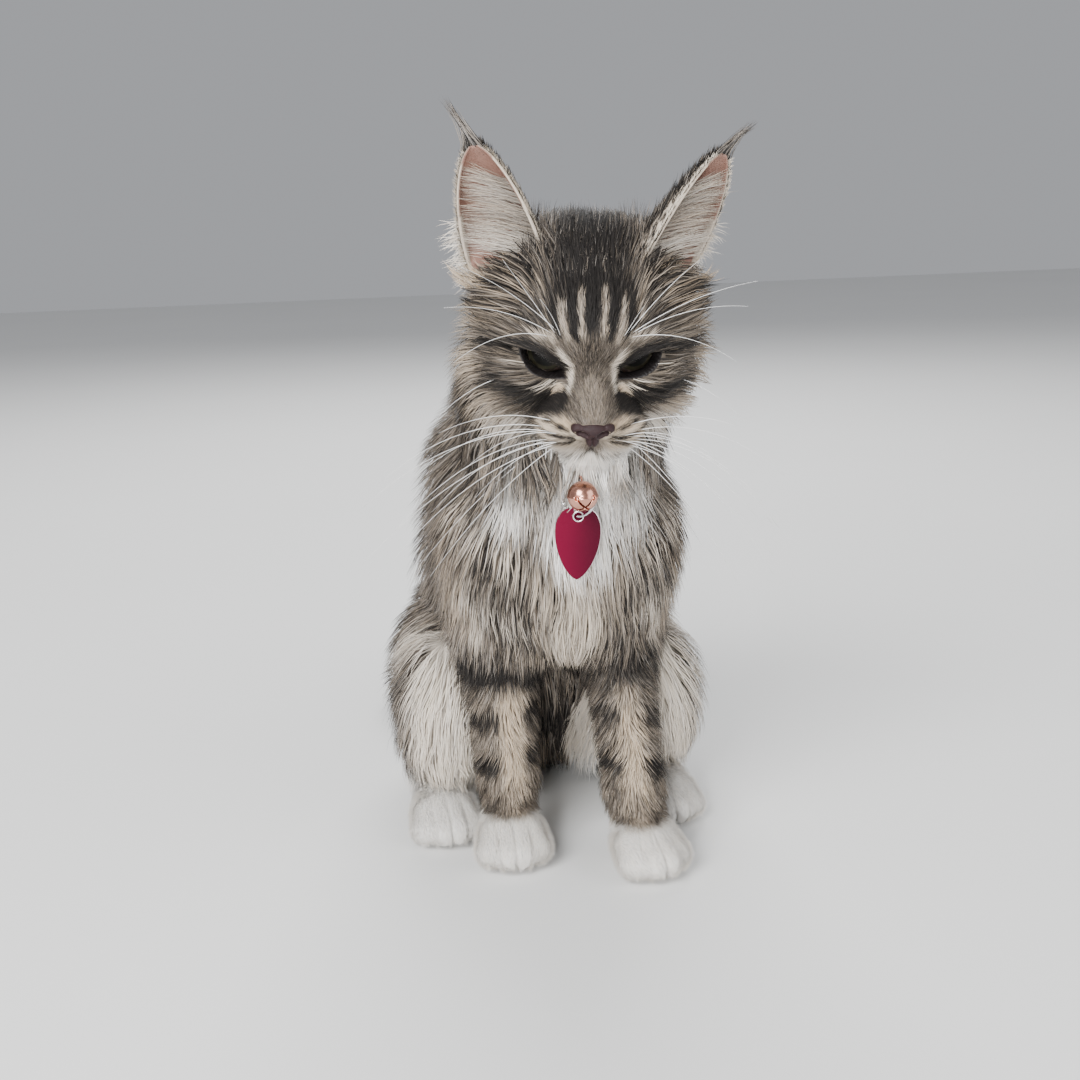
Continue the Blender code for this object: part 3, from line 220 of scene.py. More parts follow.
groupBlend = 5.0


class Flesh:
    # The smooth union of groups of forms: depth is below zero inside.
    def __init__(self, groups):
        self.groups = []
        for forms, blend, turned in groups:
            rows = []
            for kind, first, second, size, coat, lie in forms:
                place = (np.array(first, float), np.array(second, float)) if kind == "bone" else (
                    np.array(first, float), np.array(turned @ spun(second, "X")))
                rows.append((kind, place, np.array(size, float), coat, np.array(Vector(lie).normalized())))
            self.groups.append((rows, blend))

    @staticmethod
    def reach(points, kind, place, size):
        if kind == "bone":
            along = place[1] - place[0]
            t = fade((points - place[0]) @ along / (along @ along))
            out = points - place[0] - t[:, None] * along
            length = np.linalg.norm(out, axis=1)
            return length - size[0] - t * (size[1] - size[0]), out / np.maximum(length, 1e-6)[:, None]
        local = (points - place[0]) @ place[1]
        near = np.linalg.norm(local / size, axis=1)
        slope = local / size ** 2
        steep = np.maximum(np.linalg.norm(slope, axis=1), 1e-6)
        return near * (near - 1) / steep, (slope / steep[:, None]) @ place[1].T

    def readSome(self, points):
        depths, coats, lies, normals = [], [], [], []
        for rows, blend in self.groups:
            found = [self.reach(points, kind, place, size) for kind, place, size, _, _ in rows]
            apart = np.array([f[0] for f in found])
            least = apart.min(axis=0)
            share = np.exp((least - apart) / blend)
            total = share.sum(axis=0)
            share /= total
            depths.append(least - blend * np.log(total))
            coats.append(np.array([row[3] for row in rows]) @ share)
            lies.append(share.T @ np.array([row[4] for row in rows]))
            normals.append(sum(s[:, None] * f[1] for s, f in zip(share, found)))
        depths = np.array(depths)
        least = depths.min(axis=0)
        share = np.exp((least - depths) / groupBlend)
        total = share.sum(axis=0)
        share /= total
        normal = sum(s[:, None] * n for s, n in zip(share, normals))
        normal /= np.maximum(np.linalg.norm(normal, axis=1, keepdims=True), 1e-6)
        depth = least - groupBlend * np.log(total) + toeGrooves(points)
        coat = sum(s * c for s, c in zip(share, coats))
        lie = sum(s[:, None] * v for s, v in zip(share, lies))
        return depth, coat, lie, normal, depths.argmin(axis=0)

    def read(self, points):
        parts = [self.readSome(points[i:i + 16000]) for i in range(0, len(points), 16000)]
        return [np.concatenate(p) for p in zip(*parts)]

    def settle(self, points, share, rounds=2):
        points = points.copy()
        for _ in range(rounds):
            depth, coat, _, normal, _ = self.read(points)
            points -= normal * np.clip(depth - share * coat, -6, 6)[:, None]
        return points


groupNames = ["neck", "body", "foreleg_left", "foreleg_right", "tail", "head", "thigh_left", "thigh_right"]
flesh = Flesh([
    (neckForms, 8.0, upright), (bodyMiddle + bothSides(bodySides), 8.0, upright),
    (forelegForms("left"), 2.4, upright), (forelegForms("right"), 2.4, upright), (tailForms(), 4.0, upright),
    (headForms(), 2.6, headTurn), (thighForms("left"), 2.4, upright), (thighForms("right"), 2.4, upright)])


def newObject(name, mesh):
    obj = bpy.data.objects.new(name, mesh)
    bpy.context.scene.collection.objects.link(obj)
    return obj


def meshObject(name, points, faces, smooth=True):
    mesh = bpy.data.meshes.new(name)
    mesh.from_pydata((np.asarray(points) * mm + shiftRow).tolist(), [], faces)
    if smooth:
        mesh.shade_smooth()
    return newObject(name, mesh)


def objectFrom(bm, name):
    mesh = bpy.data.meshes.new(name)
    bm.to_mesh(mesh)
    bm.free()
    return newObject(name, mesh)


def reshape(obj, change):
    bm = bmesh.new()
    bm.from_mesh(obj.data)
    change(bm)
    bm.to_mesh(obj.data)
    bm.free()


def cleanFaces(bm):
    bmesh.ops.triangulate(bm, faces=[f for f in bm.faces if len(f.verts) > 4])
    bmesh.ops.recalc_face_normals(bm, faces=bm.faces[:])


def loft(around, rings, base=0, closed=False):
    # The faces between rings of points that follow one another.
    faces = []
    for r in range(rings if closed else rings - 1):
        here, there = base + r * around, base + (r + 1) % rings * around
        for k in range(around):
            n = (k + 1) % around
            faces.append((here + k, here + n, there + n, there + k))
    return faces


def caps(around, rings, base=0):
    last = base + (rings - 1) * around
    return [tuple(range(base, base + around))[::-1], tuple(range(last, last + around))]


def dress(obj, slot, *materials):
    obj.data.materials.clear()
    for material in materials:
        obj.data.materials.append(material)
    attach(obj, "root")


def store(obj, name, rows):
    obj.data.attributes.new(name, "FLOAT_VECTOR", "POINT").data.foreach_set("vector", rows.ravel())


def modify(obj, kind, **settings):
    modifier = obj.modifiers.new("change", kind)
    for key, value in settings.items():
        setattr(modifier, key, value)
    bpy.context.view_layer.update()
    graph = bpy.context.evaluated_depsgraph_get()
    mesh = bpy.data.meshes.new_from_object(obj.evaluated_get(graph), depsgraph=graph)
    obj.modifiers.clear()
    obj.data = mesh


def pointsOf(obj):
    flat = np.empty(len(obj.data.vertices) * 3)
    obj.data.vertices.foreach_get("co", flat)
    return (flat.reshape(-1, 3) - shiftRow) / mm


def setPoints(obj, points):
    obj.data.vertices.foreach_set("co", (points * mm + shiftRow).ravel())
    obj.data.update()


def boolean(obj, other, operation):
    modify(obj, "BOOLEAN", operation=operation, solver="MANIFOLD", object=other)
    bpy.data.objects.remove(other)


def place(point):
    return Vector(point) * mm + shift


# The skin: one closed surface under the whole coat.
skinLook = {"voxel": 1.6, "margin": 0.6, "lowest": 0.2, "faceCuts": 2, "mouthDepth": 1.5, "mouthWidth": 1.1,
            "philtrumDepth": 0.9}


def roughSkin():
    bm = bmesh.new()
    for rows, _ in flesh.groups:
        for kind, spot, size, _, _ in rows:
            grown = (size + skinLook["margin"]) * mm
            if kind == "ball":
                turn = Matrix(spot[1].tolist()).to_4x4()
                bmesh.ops.create_icosphere(bm, subdivisions=3, radius=1, matrix=Matrix.Translation(
                    place(spot[0])) @ turn @ Matrix.Diagonal((*grown, 1)))
                continue
            first, second = place(spot[0]), place(spot[1])
            for end, radius in zip((first, second), grown):
                bmesh.ops.create_icosphere(bm, subdivisions=3, radius=radius, matrix=Matrix.Translation(end))
            along = second - first
            turn = along.to_track_quat("Z", "Y").to_matrix().to_4x4()
            bmesh.ops.create_cone(bm, cap_ends=True, segments=24, radius1=grown[0], radius2=grown[1],
                                  depth=along.length, matrix=Matrix.Translation((first + second) / 2) @ turn)
    skin = objectFrom(bm, "skin")
    modify(skin, "REMESH", mode="VOXEL", voxel_size=skinLook["voxel"] * mm)
    setPoints(skin, flesh.settle(pointsOf(skin), 0.0, 3))
    modify(skin, "SMOOTH", factor=0.5, iterations=3)
    settleSkin(skin)
    return skin


def settleSkin(skin):
    points = flesh.settle(pointsOf(skin), 0.0)
    points[:, 2] = np.maximum(points[:, 2], skinLook["lowest"])
    setPoints(skin, points)


def refineFace(skin):
    local = catToHead(pointsOf(skin))
    inFace = (local[:, 1] < 6) & (abs(local[:, 0]) < 34) & (local[:, 2] > -40) & (local[:, 2] < 24)

    def divide(bm):
        chosen = [e for e in bm.edges if all(inFace[v.index] for v in e.verts)]
        bmesh.ops.subdivide_edges(bm, edges=chosen, cuts=skinLook["faceCuts"], use_grid_fill=True)
        bmesh.ops.triangulate(bm, faces=[f for f in bm.faces if len(f.verts) > 4])

    reshape(skin, divide)
    settleSkin(skin)


def lineDistance(points, path):
    best = np.full(len(points), 1e9)
    for first, second in zip(np.asarray(path, float)[:-1], np.asarray(path, float)[1:]):
        along = second - first
        t = fade((points - first) @ along / max(along @ along, 1e-9))
        best = np.minimum(best, np.linalg.norm(points - first - t[:, None] * along, axis=1))
    return best


mouthPath = [(0, -42, -31), (4, -41, -34), (9, -38, -35.5), (14, -32, -34.5), (18.5, -24, -31)]
philtrumPath = [(0, -45, -25), (0, -43, -31)]


def mouthLine(side):
    return flesh.settle(headToCat([flip(p, side) for p in mouthPath]), 0.0, 3)


def carveFace(skin):
    points = pointsOf(skin)
    local = catToHead(points)
    _, _, _, normal, _ = flesh.read(points)
    deep = np.zeros(len(points))
    for side in signs:
        apart = lineDistance(points, mouthLine(side))
        deep += skinLook["mouthDepth"] * np.exp(-(apart / skinLook["mouthWidth"]) ** 2)
        # The lips roll out a little on both sides of the line.
        deep -= 0.55 * np.exp(-((apart - 2.6) / 1.3) ** 2)
    seam = flesh.settle(headToCat(philtrumPath), 0.0, 3)
    deep += skinLook["philtrumDepth"] * np.exp(-(lineDistance(points, seam) / 0.9) ** 2)
    for side in signs:
        # A fold above the upper lid.
        inner, outer = np.array(flip(eyes["inner"], side)), np.array(flip(eyes["outer"], side))
        fold = [inner + (0, -1, 5.0), (inner + outer) / 2 + (0, -2, 8.6), outer + (0, 0, 6.0)]
        deep += 0.8 * np.exp(-(lineDistance(local, fold) / 1.5) ** 2)
    setPoints(skin, points - normal * np.clip(deep, -1.2, 2.0)[:, None])


def almond(side, steps=16):
    # The rim of the slit between the lids, in the head's frame.
    inner, outer = Vector(flip(eyes["inner"], side)), Vector(flip(eyes["outer"], side))
    outward = Vector(flip(eyes["outward"], side)).normalized()
    along = (outer - inner) / 2
    up = along.cross(outward).normalized()
    if up.z < 0:
        up.negate()
    rim = []
    for i in range(2 * steps):
        t = -1 + 2 * (i if i <= steps else 2 * steps - i) / steps
        swell = max(1 - abs(t) ** eyes["lidSwell"], 0)
        lid = swell * (eyes["upperLid"] if i < steps else -eyes["lowerLid"])
        rim.append((inner + outer) / 2 + along * t + up * (lid * eyes["opening"]))
    return rim, outward, along, up


def slitDistance(local, side):
    # How far each point lies from the slit's rim, seen along the gaze, and how far out it lies.
    rim, outward, _, _ = almond(side)
    rim, outward = np.array([p[:] for p in rim]), np.array(outward)
    ahead = local @ outward
    flat = rim - np.outer(rim @ outward, outward)
    return lineDistance(local - np.outer(ahead, outward), list(flat) + [flat[0]]), ahead


def sphere(name, centre, radius, turn=upright, segments=48, rings=32):
    bm = bmesh.new()
    sizes = Matrix.Diagonal((*(Vector(radius) * mm), 1))
    bmesh.ops.create_uvsphere(bm, u_segments=segments, v_segments=rings, radius=1,
                              matrix=Matrix.Translation(place(centre)) @ turn.to_4x4() @ sizes)
    obj = objectFrom(bm, name)
    obj.data.shade_smooth()
    return obj


def openEyes(skin):
    for side in signs:
        centre = fromHead(flip((eyes["apart"], 0, 0), side))
        boolean(skin, sphere("socket", centre, [eyes["radius"] + eyes["gap"]] * 3), "DIFFERENCE")
        rim, outward, _, _ = almond(side)
        bm = bmesh.new()
        near, far = ([bm.verts.new(place(fromHead(p + outward * r))) for p in rim] for r in (-3, 18))
        for i in range(len(rim)):
            k = (i + 1) % len(rim)
            bm.faces.new((near[i], near[k], far[k], far[i]))
        bm.faces.new(near)
        bm.faces.new(far)
        bmesh.ops.recalc_face_normals(bm, faces=bm.faces[:])
        boolean(skin, objectFrom(bm, "slit"), "DIFFERENCE")
    # The cut edges of the lids are rounded.
    local = catToHead(pointsOf(skin))
    near = np.zeros(len(local), bool)
    for side in signs:
        apart, ahead = slitDistance(local, side)
        near |= (apart < 1.1) & (ahead > 5)

    def soften(bm):
        verts = [v for v in bm.verts if near[v.index]]
        for _ in range(3):
            bmesh.ops.smooth_vert(bm, verts=verts, factor=0.4,
                                  use_axis_x=True, use_axis_y=True, use_axis_z=True)

    reshape(skin, soften)


# The ears: a cup that opens forwards, joined to the skin.
ears = {"base": (36.0, 31.0, 24.0), "length": 55.5, "width": 39.0, "wall": 1.5, "backLean": -10,
        "lean": {"left": 25, "right": 17}, "turn": {"left": 30, "right": 12}}


def earFrame(side):
    sign = signs[side]
    turn = (headTurn @ spun(ears["lean"][side] * sign, "Y") @ spun(ears["backLean"], "X")
            @ spun(ears["turn"][side] * sign))
    return np.array(fromHead(flip(ears["base"], side))), np.array(turn)


def earHalf(up):
    return ears["width"] / 2 * (1 - fade(up) ** 1.9) ** 0.62


def earSpot(up, angle, inside):
    # A point of the left ear in its own frame; angle runs from the inner edge (-90) to the outer one (90).
    up, angle = np.asarray(up, float), np.radians(angle)
    above = np.maximum(up, 0)
    half = np.maximum(earHalf(above) * (1 - 0.7 * np.maximum(-up, 0)), 0.4)
    deep = half * (1.02 - 0.35 * above)
    wall = np.minimum(ears["wall"], half * 0.45)
    skew = 3.5 * np.sin(angle) * (1 - above)
    bend = 5 * above ** 2 - 3 * above
    if not inside:
        x, y = half * np.sin(angle), deep * np.cos(angle)
    else:
        hollow = fade((up - 0.02) / 0.2)
        # A soft ridge runs up the cup.
        ridge = 0.9 * hollow * np.exp(-((np.degrees(angle) - 35) / 9) ** 2) * fade(1 - up * 1.4)
        x = (half - wall) * np.sin(angle)
        y = (deep - wall * 1.2 - ridge) * np.cos(angle) * hollow - 0.12 * deep * np.cos(angle) * (1 - hollow)
    return np.stack([x + 0 * y, y + bend + skew, up * ears["length"] + 0 * x], axis=-1)


def placeEar(points, side):
    base, turn = earFrame(side)
    return np.array(points, float) * (signs[side], 1, 1) @ turn.T + base


def earMesh(side):
    ups = np.concatenate([[-0.17, -0.1, -0.04], np.linspace(0.0, 0.94, 34), [0.965, 0.985]])
    angles = np.linspace(-90, 90, 25)
    rings = []
    for up in ups:
        outer, inner = earSpot(up, angles, False), earSpot(up, angles[::-1], True)
        # The rim between them is rounded.
        ends = [(outer[-1] + inner[0]) / 2 + (0, -0.5, 0), (inner[-1] + outer[0]) / 2 + (0, -0.5, 0)]
        rings.append(np.concatenate([outer, [ends[0]], inner, [ends[1]]]))
    count = len(rings[0])
    foot, tip = caps(count, len(rings))
    faces = loft(count, len(rings)) + [foot[::-1], tip]
    ear = meshObject("ear", placeEar(np.concatenate(rings), side), faces)
    reshape(ear, cleanFaces)
    return ear


def inEarFrame(points, side):
    base, turn = earFrame(side)
    return (points - base) @ turn * (signs[side], 1, 1)


# The markings, painted in order: dark hair, white hair and how warm the hair between is. Each stroke is a
# line with a reach, and pulls the three towards its own values.
markings = {"dark": 0.56, "white": 0.0, "warm": 0.35, "mottle": 0.16}
headStrokes = [
    # values (dark, white, warm), strength, reach, softness, both sides, points
    ((0.93, 0.0, 0.3), 1.0, 25, 0.7, False, [(0, 38, 36), (0, 15, 38), (0, -2, 30)]),
    ((0.80, 0.0, 0.5), 0.85, 15, 0.9, True, [(26, 22, 34), (32, 10, 24)]),
    ((0.66, 0.0, 0.6), 0.85, 13, 0.8, True, [(36, 4, 16), (44, 10, 10)]),
    ((0.22, 0.15, 0.6), 0.95, 15, 0.8, True, [(54, 24, 6), (54, 16, -8), (46, 10, -22), (36, 4, -32)]),
    ((0.75, 0.0, 0.4), 0.7, 6, 0.8, True, [(42, 8, -2), (50, 16, -8)]),
    ((0.85, 0.0, 0.4), 0.7, 5, 0.8, True, [(36, -2, -16), (44, 6, -22)]),
    ((0.40, 0.05, 0.65), 0.9, 6, 0.8, True, [(24, 4, 24), (34, 6, 20)]),
    ((0.85, 0.0, 0.35), 0.8, 8, 0.8, True, [(17, -9, 23), (26, -6, 17)]),
    ((0.99, 0.0, 0.2), 1.0, 3.4, 0.6, False, [(0, 34, 43), (-0.2, 3, 34), (-0.8, -17, 19)]),
    ((0.22, 0.10, 0.5), 0.9, 2.0, 0.7, True, [(5.2, -3, 29), (5.0, -11, 25), (4.4, -18, 17)]),
    ((0.99, 0.0, 0.2), 0.95, 2.4, 0.7, True, [(9.6, 4, 31), (9.4, -10, 25), (7.0, -18, 15)]),
    ((0.22, 0.15, 0.5), 0.9, 2.1, 0.7, True, [(13.2, -6, 26), (12.8, -12.5, 21), (10, -16, 13)]),
    ((0.97, 0.0, 0.2), 0.9, 2.6, 0.7, True, [(17, 0, 29), (16.4, -10, 22), (14, -14, 15)]),
    ((0.30, 0.10, 0.5), 0.8, 2.2, 0.7, True, [(20, -3, 26), (20, -9, 19)]),
    ((0.70, 0.0, 0.5), 0.9, 7.5, 0.6, False, [(0, -21, 10), (0, -26, 3)]),
    ((0.50, 0.0, 0.45), 1.0, 7.6, 0.5, False, [(0, -30, -3), (0, -38, -12)]),
    ((0.93, 0.0, 0.3), 1.0, 8.6, 0.6, True,
     [(11.5, -21, -11), (13, -25, -16), (21, -21, -16), (30, -12, -11)]),
    ((0.85, 0.0, 0.3), 0.75, 5.0, 0.8, True, [(27, -16, -12), (35, -6, -12), (42, 4, -14)]),
    ((0.99, 0.0, 0.2), 1.0, 3.0, 0.6, True, [(9, -15, 2), (18, -13, 5.5), (29, -7, 7.5)]),
    ((0.90, 0.0, 0.3), 0.85, 3.4, 0.8, True, [(29, -7, 5), (40, 0, 2), (50, 12, -2)]),
    ((0.10, 0.45, 0.6), 0.8, 2.4, 0.8, True, [(15, -12, 12), (25, -8, 12)]),
    ((0.0, 0.75, 0.6), 1.0, 2.3, 0.7, True, [(12.5, -16, 8), (9.4, -19, 3), (7.4, -22, -4), (7.2, -24, -8)]),
    ((0.0, 0.85, 0.6), 1.0, 2.0, 0.5, True,
     [(8.5, -15.5, -10.2), (14, -15.0, -9.9), (21, -12.0, -7.2), (29.5, -6.0, -0.4)]),
    ((0.05, 0.30, 0.95), 0.9, 2.6, 0.6, True, [(10, -16.5, -10.0), (13.5, -16.5, -10.2)]),
    ((0.05, 0.40, 0.75), 0.95, 9.0, 0.6, True, [(10, -36, -22), (19, -31, -23)]),
    ((0.05, 0.25, 1.0), 0.85, 4.5, 0.8, True, [(8.5, -38, -16), (14, -35, -17)]),
    ((0.30, 0.30, 0.6), 0.9, 2.2, 0.7, True, [(4, -42, -27), (9, -39, -29)]),
    ((0.05, 0.75, 0.35), 0.95, 8.0, 0.6, False, [(-14, -32, -34), (0, -40, -35), (14, -32, -34)]),
    ((0.0, 1.0, 0.1), 1.0, 19, 0.6, False, [(-10, -20, -45), (0, -26, -45), (10, -20, -45)]),
    ((0.05, 0.65, 0.35), 0.85, 14, 0.8, True, [(26, -4, -36), (34, 8, -42)]),
    ((0.0, 0.9, 0.08), 1.0, 19, 0.7, True, [(10, -18, -52), (22, -2, -52)]),
    ((0.95, 0.0, 0.4), 0.9, 1.5, 0.8, True, mouthPath[:4]),
]
spotRows = [(8.5, -40.5, -21.5), (12.5, -37.6, -22.0), (16.0, -34.0, -22.4), (19.0, -29.5, -22.6),
            (9.5, -40.0, -24.6), (13.5, -36.6, -25.4), (17.2, -32.4, -25.8), (12.0, -35.8, -18.6),
            (16.0, -31.6, -19.0)]
for x, y, z in spotRows:
    headStrokes.append(((0.99, 0.0, 0.4), 0.95, 1.9, 0.8, True, [(x, y, z), (x + 2.2, y + 2.0, z - 0.2)]))
bodyStrokes = [
    ((0.72, 0.0, 0.25), 0.9, 60, 0.6, False, [(0, 60, 190), (0, 100, 130), (0, 150, 50)]),
    ((0.55, 0.0, 0.4), 0.8, 26, 0.8, True, [(60, 70, 120), (58, 110, 60)]),
    ((0.95, 0.0, 0.15), 0.9, 11, 0.7, False, [(0, 50, 240), (0, 100, 190), (0, 140, 120), (0, 170, 60)]),
    ((0.92, 0.0, 0.2), 0.8, 7, 0.8, True, [(14, 75, 212), (48, 62, 190), (64, 50, 160)]),
    ((0.92, 0.0, 0.2), 0.8, 7, 0.8, True, [(16, 108, 178), (52, 92, 158), (70, 70, 132)]),
    ((0.92, 0.0, 0.2), 0.8, 7, 0.8, True, [(20, 138, 138), (56, 118, 122), (76, 92, 104)]),
    ((0.92, 0.0, 0.2), 0.8, 7, 0.8, True, [(22, 156, 98), (58, 136, 88), (80, 110, 76)]),
    ((0.88, 0.0, 0.2), 0.8, 7, 0.8, True, [(28, 166, 60), (60, 148, 54), (82, 118, 46)]),
    ((0.36, 0.16, 0.5), 0.95, 44, 0.5, False, [(0, -45, 150), (0, -40, 110)]),
    ((0.30, 0.0, 0.5), 0.8, 22, 0.7, True, [(52, -16, 185), (50, -12, 140)]),
    ((0.92, 0.0, 0.2), 0.85, 5.5, 0.9, True, [(62, -4, 203), (48, -34, 195), (36, -46, 187)]),
    ((0.85, 0.0, 0.25), 0.75, 5.0, 0.9, True, [(62, -10, 172), (50, -32, 160), (38, -44, 148)]),
    ((0.80, 0.0, 0.25), 0.7, 6.0, 0.9, True, [(48, -28, 140), (30, -42, 128), (14, -46, 138)]),
    ((0.10, 0.45, 0.5), 0.75, 6.5, 0.9, True, [(46, -26, 136), (50, -16, 124)]),
    ((0.99, 0.0, 0.15), 1.0, 12, 0.7, True, [(54, 0, 100), (34, -18, 101), (10, -6, 98)]),
    ((0.92, 0.0, 0.2), 0.9, 14, 0.7, False, [(-12, 12, 92), (12, 12, 92)]),
    ((0.96, 0.0, 0.15), 0.9, 20, 0.7, False, [(0, 50, 60), (0, 50, 20)]),
    ((0.0, 0.95, 0.05), 1.0, 27, 0.6, False, [(3, -46, 222), (3, -54, 200), (3, -54, 186)]),
    ((0.0, 0.85, 0.05), 0.9, 14, 0.8, True, [(24, -36, 216), (28, -40, 198)]),
    ((0.05, 0.55, 0.6), 0.9, 9, 0.8, True, [(5, -50, 158), (8, -48, 134), (6, -44, 118)]),
    ((0.98, 0.0, 0.25), 0.95, 3.4, 0.8, True, [(9, -52, 168), (13, -50, 150)]),
    ((0.98, 0.0, 0.25), 0.95, 7.5, 0.7, True,
     [(46, -26, 150), (36, -38, 134), (22, -44, 122), (16, -42, 112)]),
    ((0.05, 0.55, 0.5), 0.85, 6.5, 0.8, True, [(52, -18, 150), (42, -34, 146), (30, -42, 136)]),
    ((0.98, 0.0, 0.25), 0.95, 6.5, 0.7, True,
     [(56, -10, 182), (44, -32, 172), (30, -44, 160), (24, -48, 150)]),
    ((0.05, 0.55, 0.5), 0.8, 7.0, 0.8, True, [(56, -14, 194), (42, -36, 184), (30, -46, 174)]),
]


def onCoat(strokes, inHead):
    # Each stroke's line, on both sides where it has two, laid on the skin or a little above it.
    made = []
    for values, strength, reach, soft, both, path in strokes:
        for side in (signs if both else ("left",)):
            line = np.array([flip(p, side) for p in path], float)
            t = np.linspace(0, len(line) - 1, 4 * (len(line) - 1) + 1)
            line = np.stack([np.interp(t, range(len(line)), line[:, i]) for i in range(3)], axis=1)
            line = headToCat(line) if inHead else line
            if reach < (9.5 if inHead else 16):
                line = flesh.settle(line, 0.4, 4)
            made.append((values, strength, reach, soft, catToHead(line) if inHead else line))
    return made


def mottle(points):
    x, y, z = points.T
    return (np.sin(x * 0.41 + 2 * np.sin(z * 0.13)) * np.sin(z * 0.33 + y * 0.21)
            + np.sin(y * 0.37 + x * 0.19 + 1.3) * np.sin(z * 0.57 - x * 0.23)) * 0.5


def paint(state, values, strength, weight):
    weight = (weight * strength)[:, None]
    return state * (1 - weight) + np.array(values) * weight


def strokeWeight(points, path, reach, soft):
    t = fade((1 - lineDistance(points, path) / reach) / soft)
    return t * t * (3 - 2 * t)


def paintLayers(state, on, layers):
    for values, strength, weight in layers:
        state[on] = paint(state[on], values, strength, fade(weight))


def legMarks(state, points, group):
    # Buff forelegs with dark bars on their outer sides, cream shanks and white feet.
    for side, sign in signs.items():
        on = group == groupNames.index("foreleg_" + side)
        foot = feet["front"][side]
        x, y, z = points[on].T
        outward = (x - foot[0]) * sign
        centre = fade(1 - abs(outward + 2.5) / 8.5) * fade((94 - z) / 6)
        bars = fade(np.sin(z / 15 * 2 * math.pi * 0.62 + 0.8 + outward * 0.05) * 2 - 0.6)
        edge = fade((abs(outward + 2) - 4.5) / 4) * fade((z - 34) / 10)
        low = fade((46 - z) / 12) * fade((outward + 14) / 6)
        behind = 1 - fade((foot[1] + 26 - y) / 14)
        paintLayers(state, on, [
            ((0.55, 0.05, 0.45), 1.0, (96 - z) / 8), ((0.16, 0.25, 0.8), 0.9, centre * 1.6),
            ((0.96, 0.0, 0.25), 0.9, bars * edge), ((0.62, 0.0, 0.35), 0.8, behind),
            ((0.62, 0.0, 0.5), 0.7, low), ((0.0, 1.0, 0.16), 1.0, (26 - z) / 3)])
        on = group == groupNames.index("thigh_" + side)
        x, y, z = points[on].T
        outer = fade((x * sign - 66) / 9) * fade((y - 22) / 16)
        pale = 1 - np.maximum(np.maximum(outer, fade((y - 62) / 26)), fade((z - 96) / 24))
        paintLayers(state, on, [
            ((0.66, 0.0, 0.3), 0.8, np.ones(len(z))), ((0.08, 0.66, 0.5), 1.0, pale * 1.2),
            ((0.0, 1.0, 0.12), 1.0, (34 - z) / 10)])


def tailMarks(state, points, group):
    on = group == groupNames.index("tail")
    path = np.array(tail["path"], float)
    steps = np.linalg.norm(np.diff(path, axis=0), axis=1)
    ends = np.concatenate([[0], np.cumsum(steps)])
    best, run = np.full(on.sum(), 1e9), np.zeros(on.sum())
    for i, (first, second) in enumerate(zip(path[:-1], path[1:])):
        line = second - first
        t = fade((points[on] - first) @ line / (line @ line))
        apart = np.linalg.norm(points[on] - first - t[:, None] * line, axis=1)
        closer = apart < best
        best[closer], run[closer] = apart[closer], (ends[i] + t * steps[i])[closer]
    paintLayers(state, on, [
        ((0.5, 0.0, 0.35), 1.0, np.ones(len(run))),
        ((0.95, 0.0, 0.2), 0.85, np.sin(run / tail["ring"] * 2 * math.pi) * 1.4 + 0.2),
        ((0.95, 0.0, 0.2), 1.0, (run - ends[-1] + tail["darkTip"]) / 20)])


headLines, bodyLines = onCoat(headStrokes, True), onCoat(bodyStrokes, False)


def markingsAt(points, group):
    state = np.tile([markings["dark"], markings["white"], markings["warm"]], (len(points), 1))
    for values, strength, reach, soft, line in bodyLines:
        state = paint(state, values, strength, strokeWeight(points, line, reach, soft))
    legMarks(state, points, group)
    tailMarks(state, points, group)
    state[:, 0] += mottle(points) * markings["mottle"] * (1 - state[:, 1])
    local = catToHead(points)
    share = fade((local[:, 2] + 58) / 16) * fade((60 - local[:, 1]) / 14) * (points[:, 2] > 190)
    face = np.tile([0.62, 0.0, 0.42], (len(points), 1))
    for values, strength, reach, soft, line in headLines:
        face = paint(face, values, strength, strokeWeight(local, line, reach, soft))
    return fade(state * (1 - share[:, None]) + face * share[:, None])


# The coat. Each tuft is a thin three-sided strip that follows the lie of the hair and tapers to a point.
coatLook = {"amount": 1.0, "clump": 0.55, "perClump": 9, "lockClump": 0.3, "perLock": 60, "turn": 0.13,
            "wave": 1.1, "stray": 0.07, "flat": 0.34, "fewest": 30, "patch": 0.003}
chance = np.random.default_rng(7)


def unit(vectors):
    return vectors / np.maximum(np.linalg.norm(vectors, axis=-1, keepdims=True), 1e-9)


def samples(points, triangles, perTriangle):
    # Random places on triangles, with a wanted number on each that may be a fraction.
    counts = np.floor(perTriangle + chance.random(len(triangles))).astype(int)
    pick = np.repeat(np.arange(len(triangles)), counts)
    u, v = chance.random(len(pick)), chance.random(len(pick))
    over = u + v > 1
    u[over], v[over] = 1 - u[over], 1 - v[over]
    a, b, c = (points[triangles[pick, i]] for i in range(3))
    return a + (b - a) * u[:, None] + (c - a) * v[:, None], pick


def walk(roots, lengths, tips, stations, turn):
    # Follows the lie from each root and rises from the skin to its own share of the coat.
    points, done = roots.copy(), 0.0
    paths, normals = [], []
    for station in stations:
        _, _, lie, normal, _ = flesh.read(points)
        lie = unit(lie - (lie * normal).sum(axis=1, keepdims=True) * normal)
        lie = lie + np.cross(normal, lie) * turn[:, None]
        points = points + lie * (lengths * (station - done))[:, None]
        depth, coat, _, normal, _ = flesh.read(points)
        share = tips * station ** 0.75
        points = points - normal * np.clip(depth - share * coat - 0.25 - 0.6 * station, -8, 8)[:, None]
        paths.append(points)
        normals.append(normal)
        done = station
    return np.array(paths).transpose(1, 0, 2), np.array(normals).transpose(1, 0, 2)


def nearest(points, targets):
    tree = KDTree(len(targets))
    for i, target in enumerate(targets.tolist()):
        tree.insert(target, i)
    tree.balance()
    return np.array([tree.find(p)[1] for p in points.tolist()])


